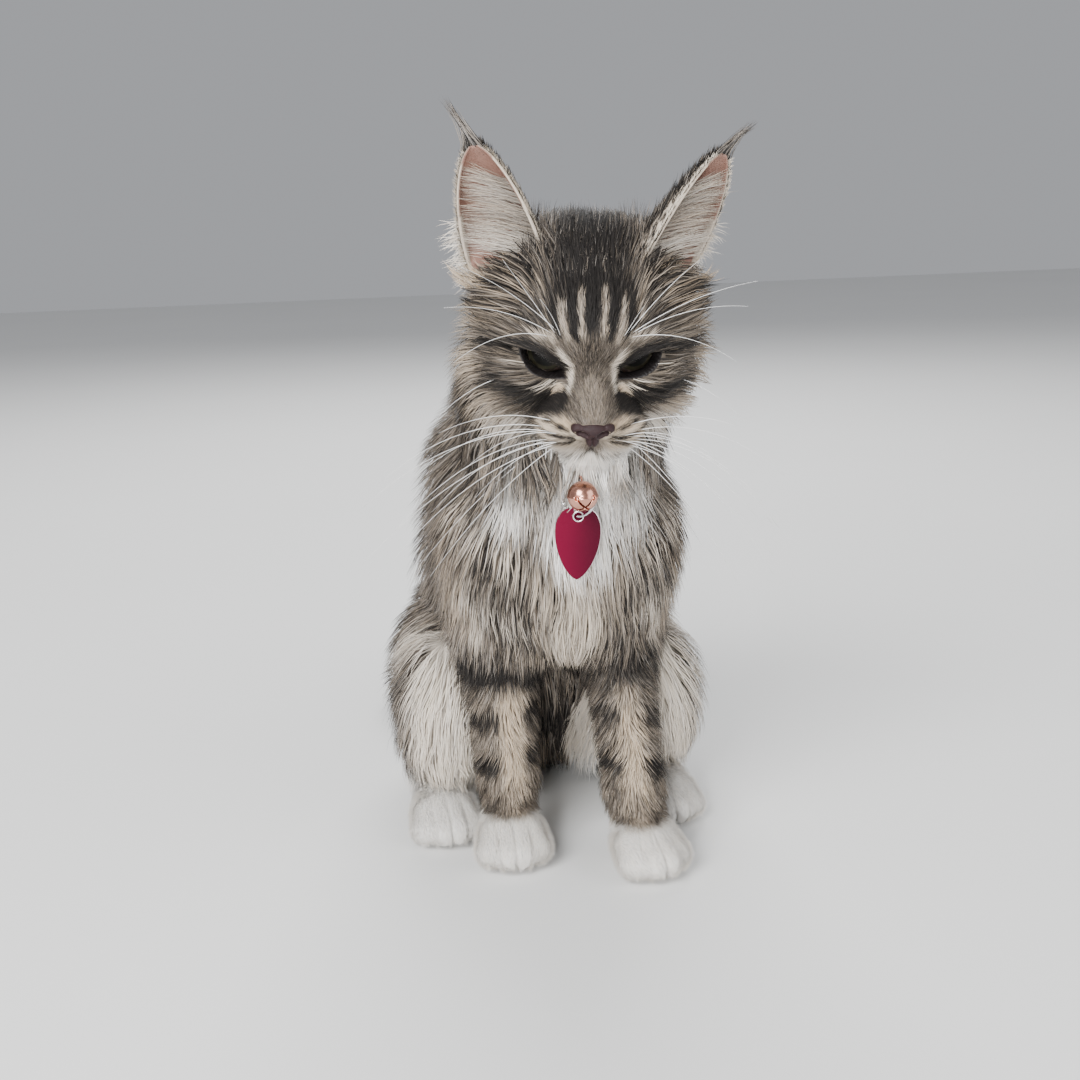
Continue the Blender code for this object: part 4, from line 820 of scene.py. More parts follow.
def gather(paths, stations, perGuide, pull):
    # Tufts near one another lean towards a shared middle at their tips.
    if len(paths) < perGuide * 2:
        return paths
    guides = chance.choice(len(paths), max(len(paths) // perGuide, 1), replace=False)
    mine = nearest(paths[:, 0], paths[guides, 0])
    centre = paths[guides][mine]
    strength = pull * chance.uniform(0.3, 1.3, len(guides))[mine]
    weight = np.clip(strength[:, None] * np.array(stations) ** 1.3, 0, 0.92)[:, :, None]
    near = np.linalg.norm(paths[:, 0] - centre[:, 0], axis=1)
    weight = weight * fade(1.4 - near / 9)[:, None, None]
    return paths * (1 - weight) + centre * weight


def sway(paths, normals, stations, size):
    # A slow bend to the side, the same for tufts that lie together.
    ahead = unit(paths[:, -1] - paths[:, 0])
    side = unit(np.cross(normals[:, 0], ahead))
    phase = paths[:, 0] @ np.array((0.11, 0.07, 0.09)) + chance.normal(0, 0.5, len(paths))
    steps = np.array(stations)
    swing = np.sin(phase[:, None] + steps * 4.2) * steps * size
    return paths + side[:, None, :] * swing[:, :, None]


def keepOff(paths):
    # Hair stays on the floor and behind the tag, the bell and the ring.
    paths[:, :, 2] = np.maximum(paths[:, :, 2], 0.5 + 0.8 * chance.random(paths.shape[:2]))
    for centre, radius, half in keptClear:
        apart = paths - np.array(centre)
        x, y, z = abs(apart[..., 0]), apart[..., 1], apart[..., 2]
        if half:
            inside = (x < half[0]) & (abs(z) < half[1]) & (y < radius)
            behind = radius
        else:
            inside = (np.linalg.norm(apart, axis=2) < radius) | (
                (x < radius * 0.8) & (z < radius * 0.25) & (z > -radius) & (y < 0))
            behind = radius * 0.9
        paths[inside, 1] = centre[1] + behind + 0.8 * chance.random(inside.sum())
    return paths


def offFace(paths):
    # Which tufts leave the eyes, the nose leather and the nostrils free.
    clear = np.ones(len(paths), bool)
    local = catToHead(paths.reshape(-1, 3)).reshape(paths.shape)
    for side in signs:
        _, outward, along, up = almond(side)
        middle = (np.array(flip(eyes["inner"], side)) + np.array(flip(eyes["outer"], side))) / 2
        rel = local - middle
        t = rel @ np.array(along) / along.length ** 2
        height = rel @ np.array(up)
        swell = fade(1 - abs(t / 1.04) ** eyes["lidSwell"]) * eyes["opening"]
        inSlit = (rel @ np.array(outward) > -8) & (abs(t) < 1.04)
        inSlit &= (height < swell * eyes["upperLid"] + 0.1) & (height > -swell * eyes["lowerLid"] - 0.1)
        clear &= ~inSlit.any(axis=1)
    nose = np.stack([local[..., 0] / 9.6, (local[..., 2] + 18.5) / 5.6], axis=-1)
    onNose = (np.linalg.norm(nose, axis=-1) < 1) & (local[..., 1] < -34)
    return clear & ~onNose.any(axis=1)


profiles = {2: (1.0,), 3: (0.8, 0.85), 4: (0.75, 1.0, 0.66), 5: (0.7, 1.0, 0.85, 0.5)}


def tuftFaces(rings):
    # One tuft's faces, and which of them are on its under side.
    faces, below = [(0, 1, 2)], [True]
    for r in range(rings - 1):
        for k in range(3):
            a, b = r * 3 + k, r * 3 + (k + 1) % 3
            faces += [(a, b + 3, b), (a, a + 3, b + 3)]
            below += [k == 0, k == 0]
    last = (rings - 1) * 3
    faces += [(last + (k + 1) % 3, last + k, last + 3) for k in range(3)]
    return np.array(faces), np.array(below + [True, False, False])


def tuftShape(paths, normals, widths):
    # The points of the tufts, and the directions that light their upper and under faces.
    count, steps, _ = paths.shape
    rings = steps - 1
    ahead = np.empty_like(paths)
    ahead[:, 1:-1] = paths[:, 2:] - paths[:, :-2]
    ahead[:, 0], ahead[:, -1] = paths[:, 1] - paths[:, 0], paths[:, -1] - paths[:, -2]
    across = unit(np.cross(ahead, normals))
    up = unit(np.cross(across, ahead))
    half = widths[:, None] * 0.5 * np.array(profiles[steps])
    body, side = paths[:, :rings], across[:, :rings] * half[..., None]
    high = up[:, :rings] * (half * 2 * coatLook["flat"])[..., None]
    points = np.stack([body - side, body + side, body + high], axis=2).reshape(count, rings * 3, 3)
    # The upper faces are lit as the coat's own surface is, with a little of each hair's roundness.
    facing = unit(normals * 0.75 + up * 0.25)
    lit, aside = facing[:, :rings], across[:, :rings] * 0.5
    tilted = np.stack([lit - aside, lit + aside, lit], axis=2).reshape(count, rings * 3, 3)
    above = unit(np.concatenate([tilted, facing[:, -1:]], axis=1))
    under = np.concatenate([np.repeat(-up[:, :rings], 3, axis=1), -up[:, -1:]], axis=1)
    return np.concatenate([points, paths[:, -1:]], axis=1), above, under


def meshFrom(name, points, faces, cornerNormals):
    mesh = bpy.data.meshes.new(name)
    mesh.vertices.add(len(points))
    mesh.vertices.foreach_set("co", (points * mm + shiftRow).ravel())
    mesh.loops.add(len(faces) * 3)
    mesh.loops.foreach_set("vertex_index", faces.ravel())
    mesh.polygons.add(len(faces))
    mesh.polygons.foreach_set("loop_start", np.arange(len(faces)) * 3)
    mesh.polygons.foreach_set("loop_total", np.full(len(faces), 3))
    mesh.update(calc_edges=True)
    mesh.shade_smooth()
    mesh.normals_split_custom_set(cornerNormals)
    return mesh


def tuftMesh(name, paths, normals, widths, marks, material, slot="coat_grey", places=None, differ=1.0):
    count, steps, _ = paths.shape
    places = unwrapPlaces(paths[:, 0], normals) if places is None else places
    if normals.ndim == 2:
        normals = np.repeat(normals[:, None], steps, axis=1)
    corners, below = tuftFaces(steps - 1)
    points, above, under = tuftShape(paths, normals, widths)
    per = points.shape[1]
    facing = np.where(below[None, :, None, None], under[:, corners], above[:, corners])
    faces = (corners[None] + (np.arange(count) * per)[:, None, None]).reshape(-1, 3)
    mesh = meshFrom(name, points.reshape(-1, 3), faces, facing.reshape(-1, 3))
    obj = newObject(name, mesh)
    along = np.concatenate([np.repeat(np.linspace(0, 1, steps)[:-1], 3), [1.0]])
    lateral = np.concatenate([np.tile([-1.0, 1.0, 0.0], steps - 1), [0.0]])
    luck = 0.5 + (chance.random(count) - 0.5) * differ
    colour = np.empty((count, per, 4))
    colour[..., :3], colour[..., 3] = marks[:, None], luck[:, None]
    mesh.attributes.new("coat", "FLOAT_COLOR", "POINT").data.foreach_set("color", colour.ravel())
    strand = np.empty((count, per, 3))
    strand[..., 0], strand[..., 1], strand[..., 2] = along, lateral, chance.random(count)[:, None]
    store(obj, "strand", strand)
    uv = mesh.uv_layers.new(name="OFBake")
    spread = np.stack([lateral * 0.5, along - 0.5], axis=-1) * coatLook["patch"]
    uv.data.foreach_set("uv", (places[:, None] + spread).reshape(-1, 2)[faces.ravel()].ravel())
    dress(obj, slot, material)
    return len(faces)


def unwrapPlaces(roots, normals, piece=None):
    # Where each root falls on the six sides of its piece's own shape, laid out in a sheet of three by two.
    piece = roots if piece is None else piece
    low, high = piece.min(axis=0), piece.max(axis=0)
    axis = abs(normals).argmax(axis=1)
    sign = (normals[np.arange(len(roots)), axis] > 0).astype(int)
    scale = (roots - low) / np.maximum(high - low, 1e-6)
    u = np.choose(axis, [scale[:, 1], scale[:, 0], scale[:, 0]])
    v = np.choose(axis, [scale[:, 2], scale[:, 2], scale[:, 1]])
    return np.stack([(axis + 0.03 + 0.94 * u) / 3, (sign + 0.03 + 0.94 * v) / 2], axis=-1)


lengthSteps = [(0, 2.0), (1, 2.8), (3, 4.8), (5, 7.8), (8, 12.5), (12, 20), (20, 35), (30, 47)]
densitySteps = [(0, 4.4), (3, 4.4), (4.6, 3.8), (4.61, 1.95), (8, 1.2), (10.5, 0.85), (10.51, 0.56),
                (20, 0.36), (30, 0.32)]
widthSteps = [(0, 0.26), (3, 0.32), (8, 0.46), (20, 0.68), (30, 0.78)]
pieceDensity = {"tail": 0.55, "side_left": 0.72, "side_right": 0.78, "thigh_left": 0.8, "thigh_right": 0.85,
                "chest": 1.1, "neck": 1.15, "crown": 1.15, "cheeks": 1.35, "face": 1.15,
                "foreleg_left": 0.85, "foreleg_right": 0.85}
# Stations along a tuft, the shortest and longest coat it grows in, its share of the wave, and how much
# one tuft's colour differs from the next.
tuftKinds = {"down": ((0, 1), -1, 4.6, 0, 0.6), "mid": ((0, 0.5, 1), 4.6, 10.5, 0.4, 0.6),
             "long": ((0, 0.34, 0.7, 1), 10.5, 99, 1, 0.9)}


def along(steps, values):
    return np.interp(values, [s[0] for s in steps], [s[1] for s in steps])


def pieceNames(points, group):
    names = np.array([groupNames[g] for g in group], dtype=object)
    local = catToHead(points)
    body, head = group == groupNames.index("body"), group == groupNames.index("head")
    front = points[:, 1] < 22
    names[body & front] = "chest"
    names[body & ~front & (points[:, 0] >= 0)] = "side_left"
    names[body & ~front & (points[:, 0] < 0)] = "side_right"
    names[head & (local[:, 1] < 6)] = "face"
    names[head & (local[:, 1] >= 6)] = "crown"
    names[head & (local[:, 2] < -14) & (local[:, 1] >= -6)] = "cheeks"
    return names


def underCover(points):
    # Skin that the ears or the floor hide.
    hidden = points[:, 2] < 3.5
    half = ears["width"] / 2
    for side in signs:
        ear = inEarFrame(points, side)
        across = np.linalg.norm(ear[:, :2] / (half, half * 0.9), axis=1)
        hidden |= (across < 0.92) & (ear[:, 2] > -18) & (ear[:, 1] > -3)
    return hidden


def growCoat(points, triangles, material):
    a, b, c = (points[triangles[:, i]] for i in range(3))
    across = np.cross(b - a, c - a)
    middle = (a + b + c) / 3
    _, coat, _, _, owner = flesh.read(middle)
    share = np.array([pieceDensity[name] for name in pieceNames(middle, owner)])
    wanted = np.linalg.norm(across, axis=1) / 2 * along(densitySteps, coat) * share * coatLook["amount"]
    wanted[underCover(middle)] = 0
    roots, pick = samples(points, triangles, wanted)
    count = len(roots)
    _, coat, _, normal, group = flesh.read(roots)
    facing = unit(across)[pick]
    facing[(facing * normal).sum(axis=1) < 0] *= -1
    names = pieceNames(roots, group)
    level = chance.random(count) ** 0.75
    tips = 0.42 + 0.56 * level
    length = along(lengthSteps, coat) * (0.62 + 0.42 * level) * chance.uniform(0.85, 1.15, count)
    width = along(widthSteps, coat) * chance.uniform(0.75, 1.2, count)
    # A few fine hairs stand off the rest and soften the outline.
    stray = chance.random(count) < coatLook["stray"]
    tips[stray] *= chance.uniform(1.15, 1.55, stray.sum())
    width[stray] *= 0.5
    turn = chance.normal(0, coatLook["turn"], count) + 0.14 * np.sin(roots @ np.array((0.13, 0.1, 0.17)))
    note("roots", count)
    total = 0
    for name in sorted(set(names)):
        piece = roots[names == name]
        for kind, (stations, low, high, wave, differ) in tuftKinds.items():
            chosen = np.flatnonzero((names == name) & (coat >= low) & (coat < high))
            if len(chosen) < coatLook["fewest"]:
                continue
            paths, normals = walk(roots[chosen], length[chosen], tips[chosen], stations, turn[chosen])
            if wave:
                paths = gather(paths, stations, coatLook["perClump"], coatLook["clump"])
                paths = sway(paths, normals, stations, coatLook["wave"] * wave)
            if kind == "long":
                paths = gather(paths, stations, coatLook["perLock"], coatLook["lockClump"])
            paths = keepOff(paths)
            if name in ("face", "cheeks", "crown"):
                good = offFace(paths)
                paths, normals, chosen = paths[good], normals[good], chosen[good]
            spread = chance.normal(0, 1, (len(paths), 3)) * (0.2 + 0.05 * coat[chosen])[:, None]
            marks = markingsAt(paths[:, 0] * 0.55 + paths[:, -1] * 0.45 + spread, group[chosen])
            places = unwrapPlaces(roots[chosen], facing[chosen], piece)
            made = tuftMesh("coat_{}_{}".format(name, kind), paths, normals, width[chosen], marks, material,
                            places=places, differ=differ)
            total += made
            print("  coat", name, kind, len(chosen), "tufts", made, "triangles")
    return total


def arc(root, middle, tip, steps):
    return root * (1 - steps) ** 2 + 2 * middle * steps * (1 - steps) + tip * steps ** 2


# Each kind of ear hair gives a path in the ear's frame, the way it faces, its width and its colour.
earHair = {"across": 460, "foot": 240, "rim": 800, "back": 1900, "tip": 150, "base": 190}
earTips = {"left": (15.0, 6.0, 1.30), "right": (9.0, 7.0, 1.40)}
earSteps = np.linspace(0, 1, 4)[:, None]


def acrossStrand(side, k):
    # Long hair that crosses the opening from its inner edge and from the cup.
    t = 0.02 + 0.66 * chance.random() ** 1.1
    angle = chance.choice([chance.uniform(-89, -72), chance.uniform(-72, 0)], p=[0.6, 0.4])
    root = earSpot(t, angle, True)
    reach = chance.uniform(0.1, 0.95) * (1.1 - 0.55 * t) + (0.4 if t < 0.24 and k % 3 == 0 else 0)
    tip = np.array((float(earHalf(t)) * reach + chance.uniform(-3, 4),
                    5 * t ** 2 - 3 * t + chance.uniform(-2.5, 3.5) + (3 if reach > 1 else -2),
                    root[2] + chance.uniform(4, 13) + 4 * (1 - t)))
    middle = (root * 0.45 + tip * 0.55) + np.array((0, -3.2 * (1 - t) - 0.8, 4.0 * (1 - t)))
    pale = chance.uniform(0.4, 0.9) if t < 0.2 else chance.uniform(0.05, 0.45)
    width = chance.uniform(0.16, 0.28)
    return arc(root, middle, tip, earSteps), (0, -1, 0.1), width, (0.30, pale * 0.7, 0.42)


def footStrand(side, k):
    # Tan hair of the brow that covers the foot of the opening.
    t, angle = chance.uniform(-0.1, 0.04), chance.uniform(-60, 75)
    root = earSpot(t, angle, False) * (1, -0.25, 1) + (0, -2.5, -2)
    ahead = np.array((0.75 + 0.3 * math.sin(math.radians(angle)), 0.1, 1.0)) + chance.normal(0, 0.15, 3)
    path = root + unit(ahead) * chance.uniform(7, 14) * earSteps
    path = path + np.array((0.5, -1.2, 0)) * earSteps * (1 - earSteps) * 4
    return path, (0, -1, 0.3), chance.uniform(0.25, 0.4), (chance.uniform(0.1, 0.6), 0.15, 0.75)


def rimStrand(side, k):
    t = chance.uniform(-0.02, 0.95)
    edge = chance.choice([-1, 1])
    ahead = np.array((edge * 1.3, -0.3, 2.6)) + chance.normal(0, 0.5, 3)
    long = chance.uniform(1.6, 3.4) + (2.5 if edge > 0 and t < 0.3 else 0)
    return earSpot(t, 88 * edge, False) + unit(ahead) * long * earSteps, (edge, 0, 0), 0.28, (0.02, 0.7, 0.6)


def backStrand(side, k):
    t, angle = chance.uniform(-0.12, 0.97), chance.uniform(-92, 92)
    root = earSpot(t, angle, False)
    outward = np.array((math.sin(math.radians(angle)), math.cos(math.radians(angle)), 0.0))
    ahead = np.array((-root[0] * 0.02, 0.1, 1.0)) + chance.normal(0, 0.12, 3)
    long = chance.uniform(4.0, 7.5) * (1.5 - 0.7 * t) * (0.55 if abs(angle) > 70 else 1)
    path = root + unit(ahead) * long * earSteps + outward * (0.25 + 1.3 * earSteps * (1.2 - t))
    return path, outward, 0.5, (0.62 + 0.3 * chance.random(), 0.0, 0.35)


def tipStrand(side, k):
    # The pointed tuft at the tip.
    across, behind, high = earTips[side]
    root = earSpot(chance.uniform(0.88, 0.985), chance.uniform(-90, 90), chance.random() < 0.3)
    tip = np.array((across, behind, high * ears["length"])) + chance.normal(0, 1.2, 3)
    steps = np.linspace(0, chance.uniform(0.35, 1.0), 4)[:, None]
    control = np.array((1.0, 2.8, 1.12 * ears["length"])) + chance.normal(0, 0.9, 3)
    width = chance.uniform(0.3, 0.45)
    return arc(root, control, tip, steps), (0, -1, 0.2), width, (chance.uniform(0.35, 0.85), 0.0, 0.2)


def baseStrand(side, k):
    # Longer tufts at the outer base, which spill over the cheek.
    root = earSpot(-0.12 + 0.55 * chance.random() ** 1.3, chance.uniform(60, 92), False)
    ahead = np.array((1.5, -0.2, chance.uniform(-0.5, 0.9))) + chance.normal(0, 0.25, 3)
    path = root + unit(ahead) * chance.uniform(5, 13) * earSteps + np.array((0, -0.5, -2.5)) * earSteps ** 2
    return path, (0.3, -1, 0.2), 0.3, (0.03, chance.uniform(0.35, 0.95), 0.4)


earStrands = {"across": acrossStrand, "foot": footStrand, "rim": rimStrand, "back": backStrand,
              "tip": tipStrand, "base": baseStrand}


def columns(rows):
    paths, facing, width, marks = (np.array([row[i] for row in rows], float) for i in range(4))
    return paths, unit(facing), width, marks


def growEarHair(material):
    total = 0
    for side in signs:
        rows = [earStrands[kind](side, k) for kind, count in earHair.items() for k in range(count)]
        paths, facing, width, marks = columns(rows)
        paths = placeEar(paths.reshape(-1, 3), side).reshape(paths.shape)
        facing = facing * (signs[side], 1, 1) @ earFrame(side)[1].T
        total += tuftMesh("coat_ear_" + side, paths, facing, width, marks, material)
    return total


# How many fine tufts grow at each place; at the toes it is for each gap.
fineHair = {"chin": 260, "throat": 2600, "crown": 1500, "toes": 34}


def growChinHair(material):
    # White hair that hangs from the chin over the top of the bell.
    count = fineHair["chin"]
    roots = [chance.normal(0, 8, count), chance.uniform(-33, -22, count), chance.uniform(-45, -38, count)]
    roots = flesh.settle(headToCat(np.stack(roots, axis=1)), 0.0, 3)
    length = chance.uniform(11, 20, count)
    steps = np.array((0, 0.3, 0.6, 0.85, 1))
    ahead = [chance.normal(0, 0.12, count), chance.normal(-0.16, 0.08, count), -np.ones(count)]
    ahead = np.stack(ahead, axis=1)
    paths = roots[:, None] + unit(ahead)[:, None] * (steps[None, :, None] * length[:, None, None])
    paths[:, :, 1] += steps ** 2 * 2.0
    paths = sway(paths, np.tile((0.0, -1.0, 0.0), (count, len(steps), 1)), steps, 1.0)
    paths = gather(paths, steps, coatLook["perClump"], 0.5)
    facing = np.tile((0.0, -1.0, 0.2), (count, 1))
    return tuftMesh("coat_chin", paths, unit(facing), chance.uniform(0.35, 0.6, count),
                    np.tile((0.0, 1.0, 0.1), (count, 1)), material, "coat_white")


def growCollarHair(material):
    # Hair of the throat that falls over the strap and hides it.
    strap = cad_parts["collar"]
    points = (np.array([strap.matrix_world @ v.co for v in strap.data.vertices]) - shiftRow) / mm
    middle = points.mean(axis=0)
    around = np.arctan2(points[:, 0] - middle[0], middle[1] - points[:, 1])
    reach = np.hypot(points[:, 0] - middle[0], points[:, 1] - middle[1])
    count, bins, circle = fineHair["throat"], 60, 2 * math.pi
    slot = ((around + math.pi) / circle * bins).astype(int) % bins
    wide = np.array([reach[slot == k].max() if (slot == k).any() else reach.mean() for k in range(bins)])
    top = np.array([points[slot == k, 2].max() if (slot == k).any() else middle[2] for k in range(bins)])
    turn = chance.uniform(-math.pi, math.pi, count)
    centres = (np.arange(bins) + 0.5) / bins * circle - math.pi
    out, high = (np.interp(turn, centres, rim, period=circle) for rim in (wide, top))
    outward = np.stack([np.sin(turn), -np.cos(turn), turn * 0], axis=1)
    aside = np.stack([np.cos(turn), np.sin(turn), turn * 0], axis=1)
    length = chance.uniform(15, 26, count)
    start = chance.uniform(-3, 12, count)
    slant = chance.normal(0, 0.2, count) + 0.3 * np.sin(turn * 9)
    stations = tuftKinds["long"][0]
    paths = []
    for station in stations:
        away = out - 1.6 * (1 - station) ** 2 + 2.4 * station ** 0.5 + chance.normal(0, 0.5, count) * station
        spot = middle * (1, 1, 0) + outward * away[:, None] + aside * (slant * length * station)[:, None]
        spot[:, 2] = high + start - length * station
        paths.append(spot)
    normals = np.repeat(outward[:, None], len(stations), axis=1)
    paths = sway(np.array(paths).transpose(1, 0, 2), normals, stations, 1.2)
    paths = keepOff(gather(paths, stations, coatLook["perClump"], 0.5))
    marks = markingsAt(paths[:, 2], np.zeros(count, int))
    return tuftMesh("coat_throat", paths, outward, chance.uniform(0.4, 0.7, count), marks, material)


def growCrownHair(points, triangles, material):
    # Fine hair that stands up between the ears.
    middle = catToHead(points[triangles].mean(axis=1))
    crown = (middle[:, 2] > 26) & (middle[:, 1] > 4) & (abs(middle[:, 0]) < 34)
    roots, _ = samples(points, triangles[crown], np.full(crown.sum(), fineHair["crown"] / crown.sum()))
    count = len(roots)
    upward = np.stack([chance.normal(0, 0.2, count), chance.normal(0.35, 0.2, count), np.ones(count)], axis=1)
    upward = unit(upward) @ headRows.T
    length = chance.uniform(6, 13, count) * (1 + 0.8 * fade((abs(catToHead(roots)[:, 0]) - 13) / 12))
    steps = np.array(tuftKinds["mid"][0])
    paths = roots[:, None] + upward[:, None] * (steps[None, :, None] * length[:, None, None])
    normals = np.tile((0.0, -0.9, 0.4), (count, 1)) @ headRows.T
    paths = gather(paths, steps, 6, 0.35)
    marks = np.stack([chance.uniform(0.35, 0.95, count), np.zeros(count), np.full(count, 0.3)], axis=1)
    return tuftMesh("coat_crown_fine", paths, normals, chance.uniform(0.18, 0.3, count), marks, material,
                    places=unwrapPlaces(roots, upward))


def growPawHair(material):
    # Tufts between the toes.
    rows = []
    for kind in ("front", "hind"):
        for side in signs:
            centre, spin = Vector(feet[kind][side]), spun(feet[kind + "Turn"][side])
            for gap in np.repeat(feet["gaps"], fineHair["toes"]):
                spread = chance.normal(0, 0.05)
                start = Vector(((gap + spread) * feet["width"],
                                -(0.36 + 0.1 * chance.random()) * feet["length"], chance.uniform(-6.5, -1)))
                ahead = Vector((gap * 1.4 + chance.normal(0, 0.16), -1, -0.35 - 0.3 * chance.random()))
                long = chance.uniform(2, 4.5)
                start, ahead = centre + spin @ start, (spin @ ahead).normalized()
                path = [start + ahead * long * s + Vector((0, 0, -1.2 * s * s)) for s in (0, 0.4, 0.75, 1)]
                rows.append((path, (0, -0.5, 1), chance.uniform(0.25, 0.42), (0.0, 1.0, 0.2)))
    paths, facing, width, marks = columns(rows)
    paths = keepOff(paths)
    return tuftMesh("coat_toes", paths, facing, width, marks, material, "coat_white")


# Shader maths reads as plain sums: a Wire is one output socket of a material.
class Wire:
    def __init__(self, tree, socket):
        self.tree, self.socket = tree, socket

    def maths(self, operation, *others):
        node = self.tree.nodes.new("ShaderNodeMath")
        node.operation = operation
        for slotIn, item in zip(node.inputs, (self, *others)):
            if isinstance(item, Wire):
                self.tree.links.new(item.socket, slotIn)
            else:
                slotIn.default_value = item
        return Wire(self.tree, node.outputs[0])

    def __add__(self, other):
        return self.maths("ADD", other)

    __radd__ = __add__

    def __sub__(self, other):
        return self.maths("SUBTRACT", other)

    def __rsub__(self, other):
        return self.maths("MULTIPLY", -1.0) + other

    def __mul__(self, other):
        return self.maths("MULTIPLY", other)

    __rmul__ = __mul__

    def clamp(self):
        return self.maths("MAXIMUM", 0.0).maths("MINIMUM", 1.0)

    def step(self, low, high):
        t = ((self - low) * (1 / (high - low))).clamp()
        return t * t * (3 - 2 * t)


class Finish:
    # One material, with its nodes made by type, settings and inputs.
    def __init__(self, name, **constants):
        self.material = bpy.data.materials.new(name)
        self.material.use_nodes = True
        self.tree = self.material.node_tree
        self.shader = self.tree.nodes["Principled BSDF"]
        for socket, value in constants.items():
            self.shader.inputs[socket.replace("_", " ")].default_value = value

    def node(self, kind, settings=None, inputs=None, output=0):
        made = self.tree.nodes.new(kind)
        for key, value in (settings or {}).items():
            setattr(made, key, value)
        for key, value in (inputs or {}).items():
            self.feed(made.inputs[key], value)
        return Wire(self.tree, made.outputs[output])

    def feed(self, socket, value):
        if isinstance(value, Wire):
            self.tree.links.new(value.socket, socket)
        elif isinstance(value, (tuple, list)) and socket.type == "RGBA" and len(value) == 3:
            socket.default_value = (*value, 1)
        else:
            socket.default_value = value

    def mix(self, first, second, factor):
        return self.node("ShaderNodeMix", {"data_type": "RGBA"}, {0: factor, 6: first, 7: second}, 2)

    def parts(self, attribute):
        made = self.tree.nodes.new("ShaderNodeAttribute")
        made.attribute_name = attribute
        split = self.tree.nodes.new("ShaderNodeSeparateXYZ")
        self.tree.links.new(made.outputs["Vector"], split.inputs[0])
        return [Wire(self.tree, o) for o in split.outputs] + [Wire(self.tree, made.outputs["Alpha"])]

    def place(self):
        return self.node("ShaderNodeTexCoord", output=3)

    def noise(self, vector, scale, detail=3.0):
        return self.node("ShaderNodeTexNoise", {}, {"Vector": vector, "Scale": scale, "Detail": detail})

    def vector(self, x, y, z):
        return self.node("ShaderNodeCombineXYZ", {}, {0: x, 1: y, 2: z})

    def bump(self, height, strength, distance):
        return self.node("ShaderNodeBump", {}, {"Height": height, "Strength": strength, "Distance": distance})

    def surface(self, **links):
        for socket, value in links.items():
            self.feed(self.shader.inputs[socket.replace("_", " ")], value)
        return self.material


furColours = {"buff": (0.43, 0.345, 0.26), "silver": (0.38, 0.365, 0.355), "tan": (0.56, 0.385, 0.215),
              "dark": (0.013, 0.011, 0.010), "white": (0.90, 0.885, 0.86), "cream": (0.82, 0.745, 0.63)}


def furColour(finish, dark, white, warm):
    ground = finish.mix(furColours["silver"], furColours["buff"], (warm * 2).clamp())
    ground = finish.mix(ground, furColours["tan"], ((warm - 0.6) * 2.5).clamp())
    pale = finish.mix(furColours["white"], furColours["cream"], (warm * 1.6).clamp())
    return finish.mix(finish.mix(ground, pale, white), furColours["dark"], dark)


def coatMaterial():
    finish = Finish("coat", Roughness=0.62, Specular_IOR_Level=0.2)
    dark, white, warm, luck = finish.parts("coat")
    along, lateral, second, _ = finish.parts("strand")
    # Many fine hairs run along each tuft. Each is darker at its tip where it is ticked, and painted shade
    # darkens it towards its root.
    fine = finish.noise(finish.vector(lateral * 3.2, along * 1.3, luck * 90), 2.4, 2.0)
    streak = (fine - 0.5) * 0.9
    ticked = (1 - white) * (along.step(0.6, 1.0) * 0.16 + (luck - 0.5) * 0.62)
    deep = (dark + ticked + streak * (0.42 - 0.3 * white)).step(0.1, 0.9)
    # Painted shade: each tuft is mixed towards black near its root, less so where the hair is white.
    paintedRootShade = 0.52 + 0.48 * along.step(0.0, 0.65)
    paintedRootShade = paintedRootShade * (1 - white) + (0.72 + 0.28 * along.step(0.0, 0.5)) * white
    colour = furColour(finish, deep, (white + (second - 0.5) * 0.25 * white).clamp(),
                       (warm + (second - 0.5) * 0.35).clamp())
    colour = finish.mix((0, 0, 0), colour, (paintedRootShade + streak * 0.25).clamp())
    normal = finish.bump(fine, 0.35, 0.0003)
    return finish.surface(Base_Color=colour, Roughness=(0.55 + 0.2 * fine).clamp(), Normal=normal)


def skinMaterial():
    finish = Finish("skin", Roughness=0.75, Specular_IOR_Level=0.25)
    dark, white, warm, _ = finish.parts("coat")
    pink, lid, lip, _ = finish.parts("bare")
    spot = finish.place()
    fine = finish.noise(spot, 900.0, 4.0)
    broad = finish.noise(spot, 90.0, 3.0)
    colour = furColour(finish, (dark + (fine - 0.5) * 0.5).clamp(), white, warm)
    # Painted shade: the skin is darker than the coat colours it takes, standing for the shaded base of the
    # coat between the tufts.
    colour = finish.mix((0, 0, 0), colour, 0.62 + 0.3 * fine)
    inner = finish.mix((0.20, 0.105, 0.08), (0.30, 0.175, 0.135), broad)
    inner = finish.mix(inner, (0.16, 0.07, 0.05), (finish.noise(spot, 260.0, 5.0) - 0.45).clamp())
    colour = finish.mix(colour, inner, pink)
    colour = finish.mix(colour, (0.012, 0.010, 0.010), lid)
    colour = finish.mix(colour, (0.035, 0.022, 0.022), lip)
    return finish.surface(Base_Color=colour, Roughness=(0.78 - 0.35 * lid - 0.2 * pink).clamp(),
                          Normal=finish.bump(fine, 0.5, 0.0006))


# The eyes: a dark olive iris with a wide pupil under a clear, wet cornea.
eyeLook = {"iris": 8.6, "pupil": 6.4, "recess": 1.5, "bulge": 1.6, "film": 0.12}


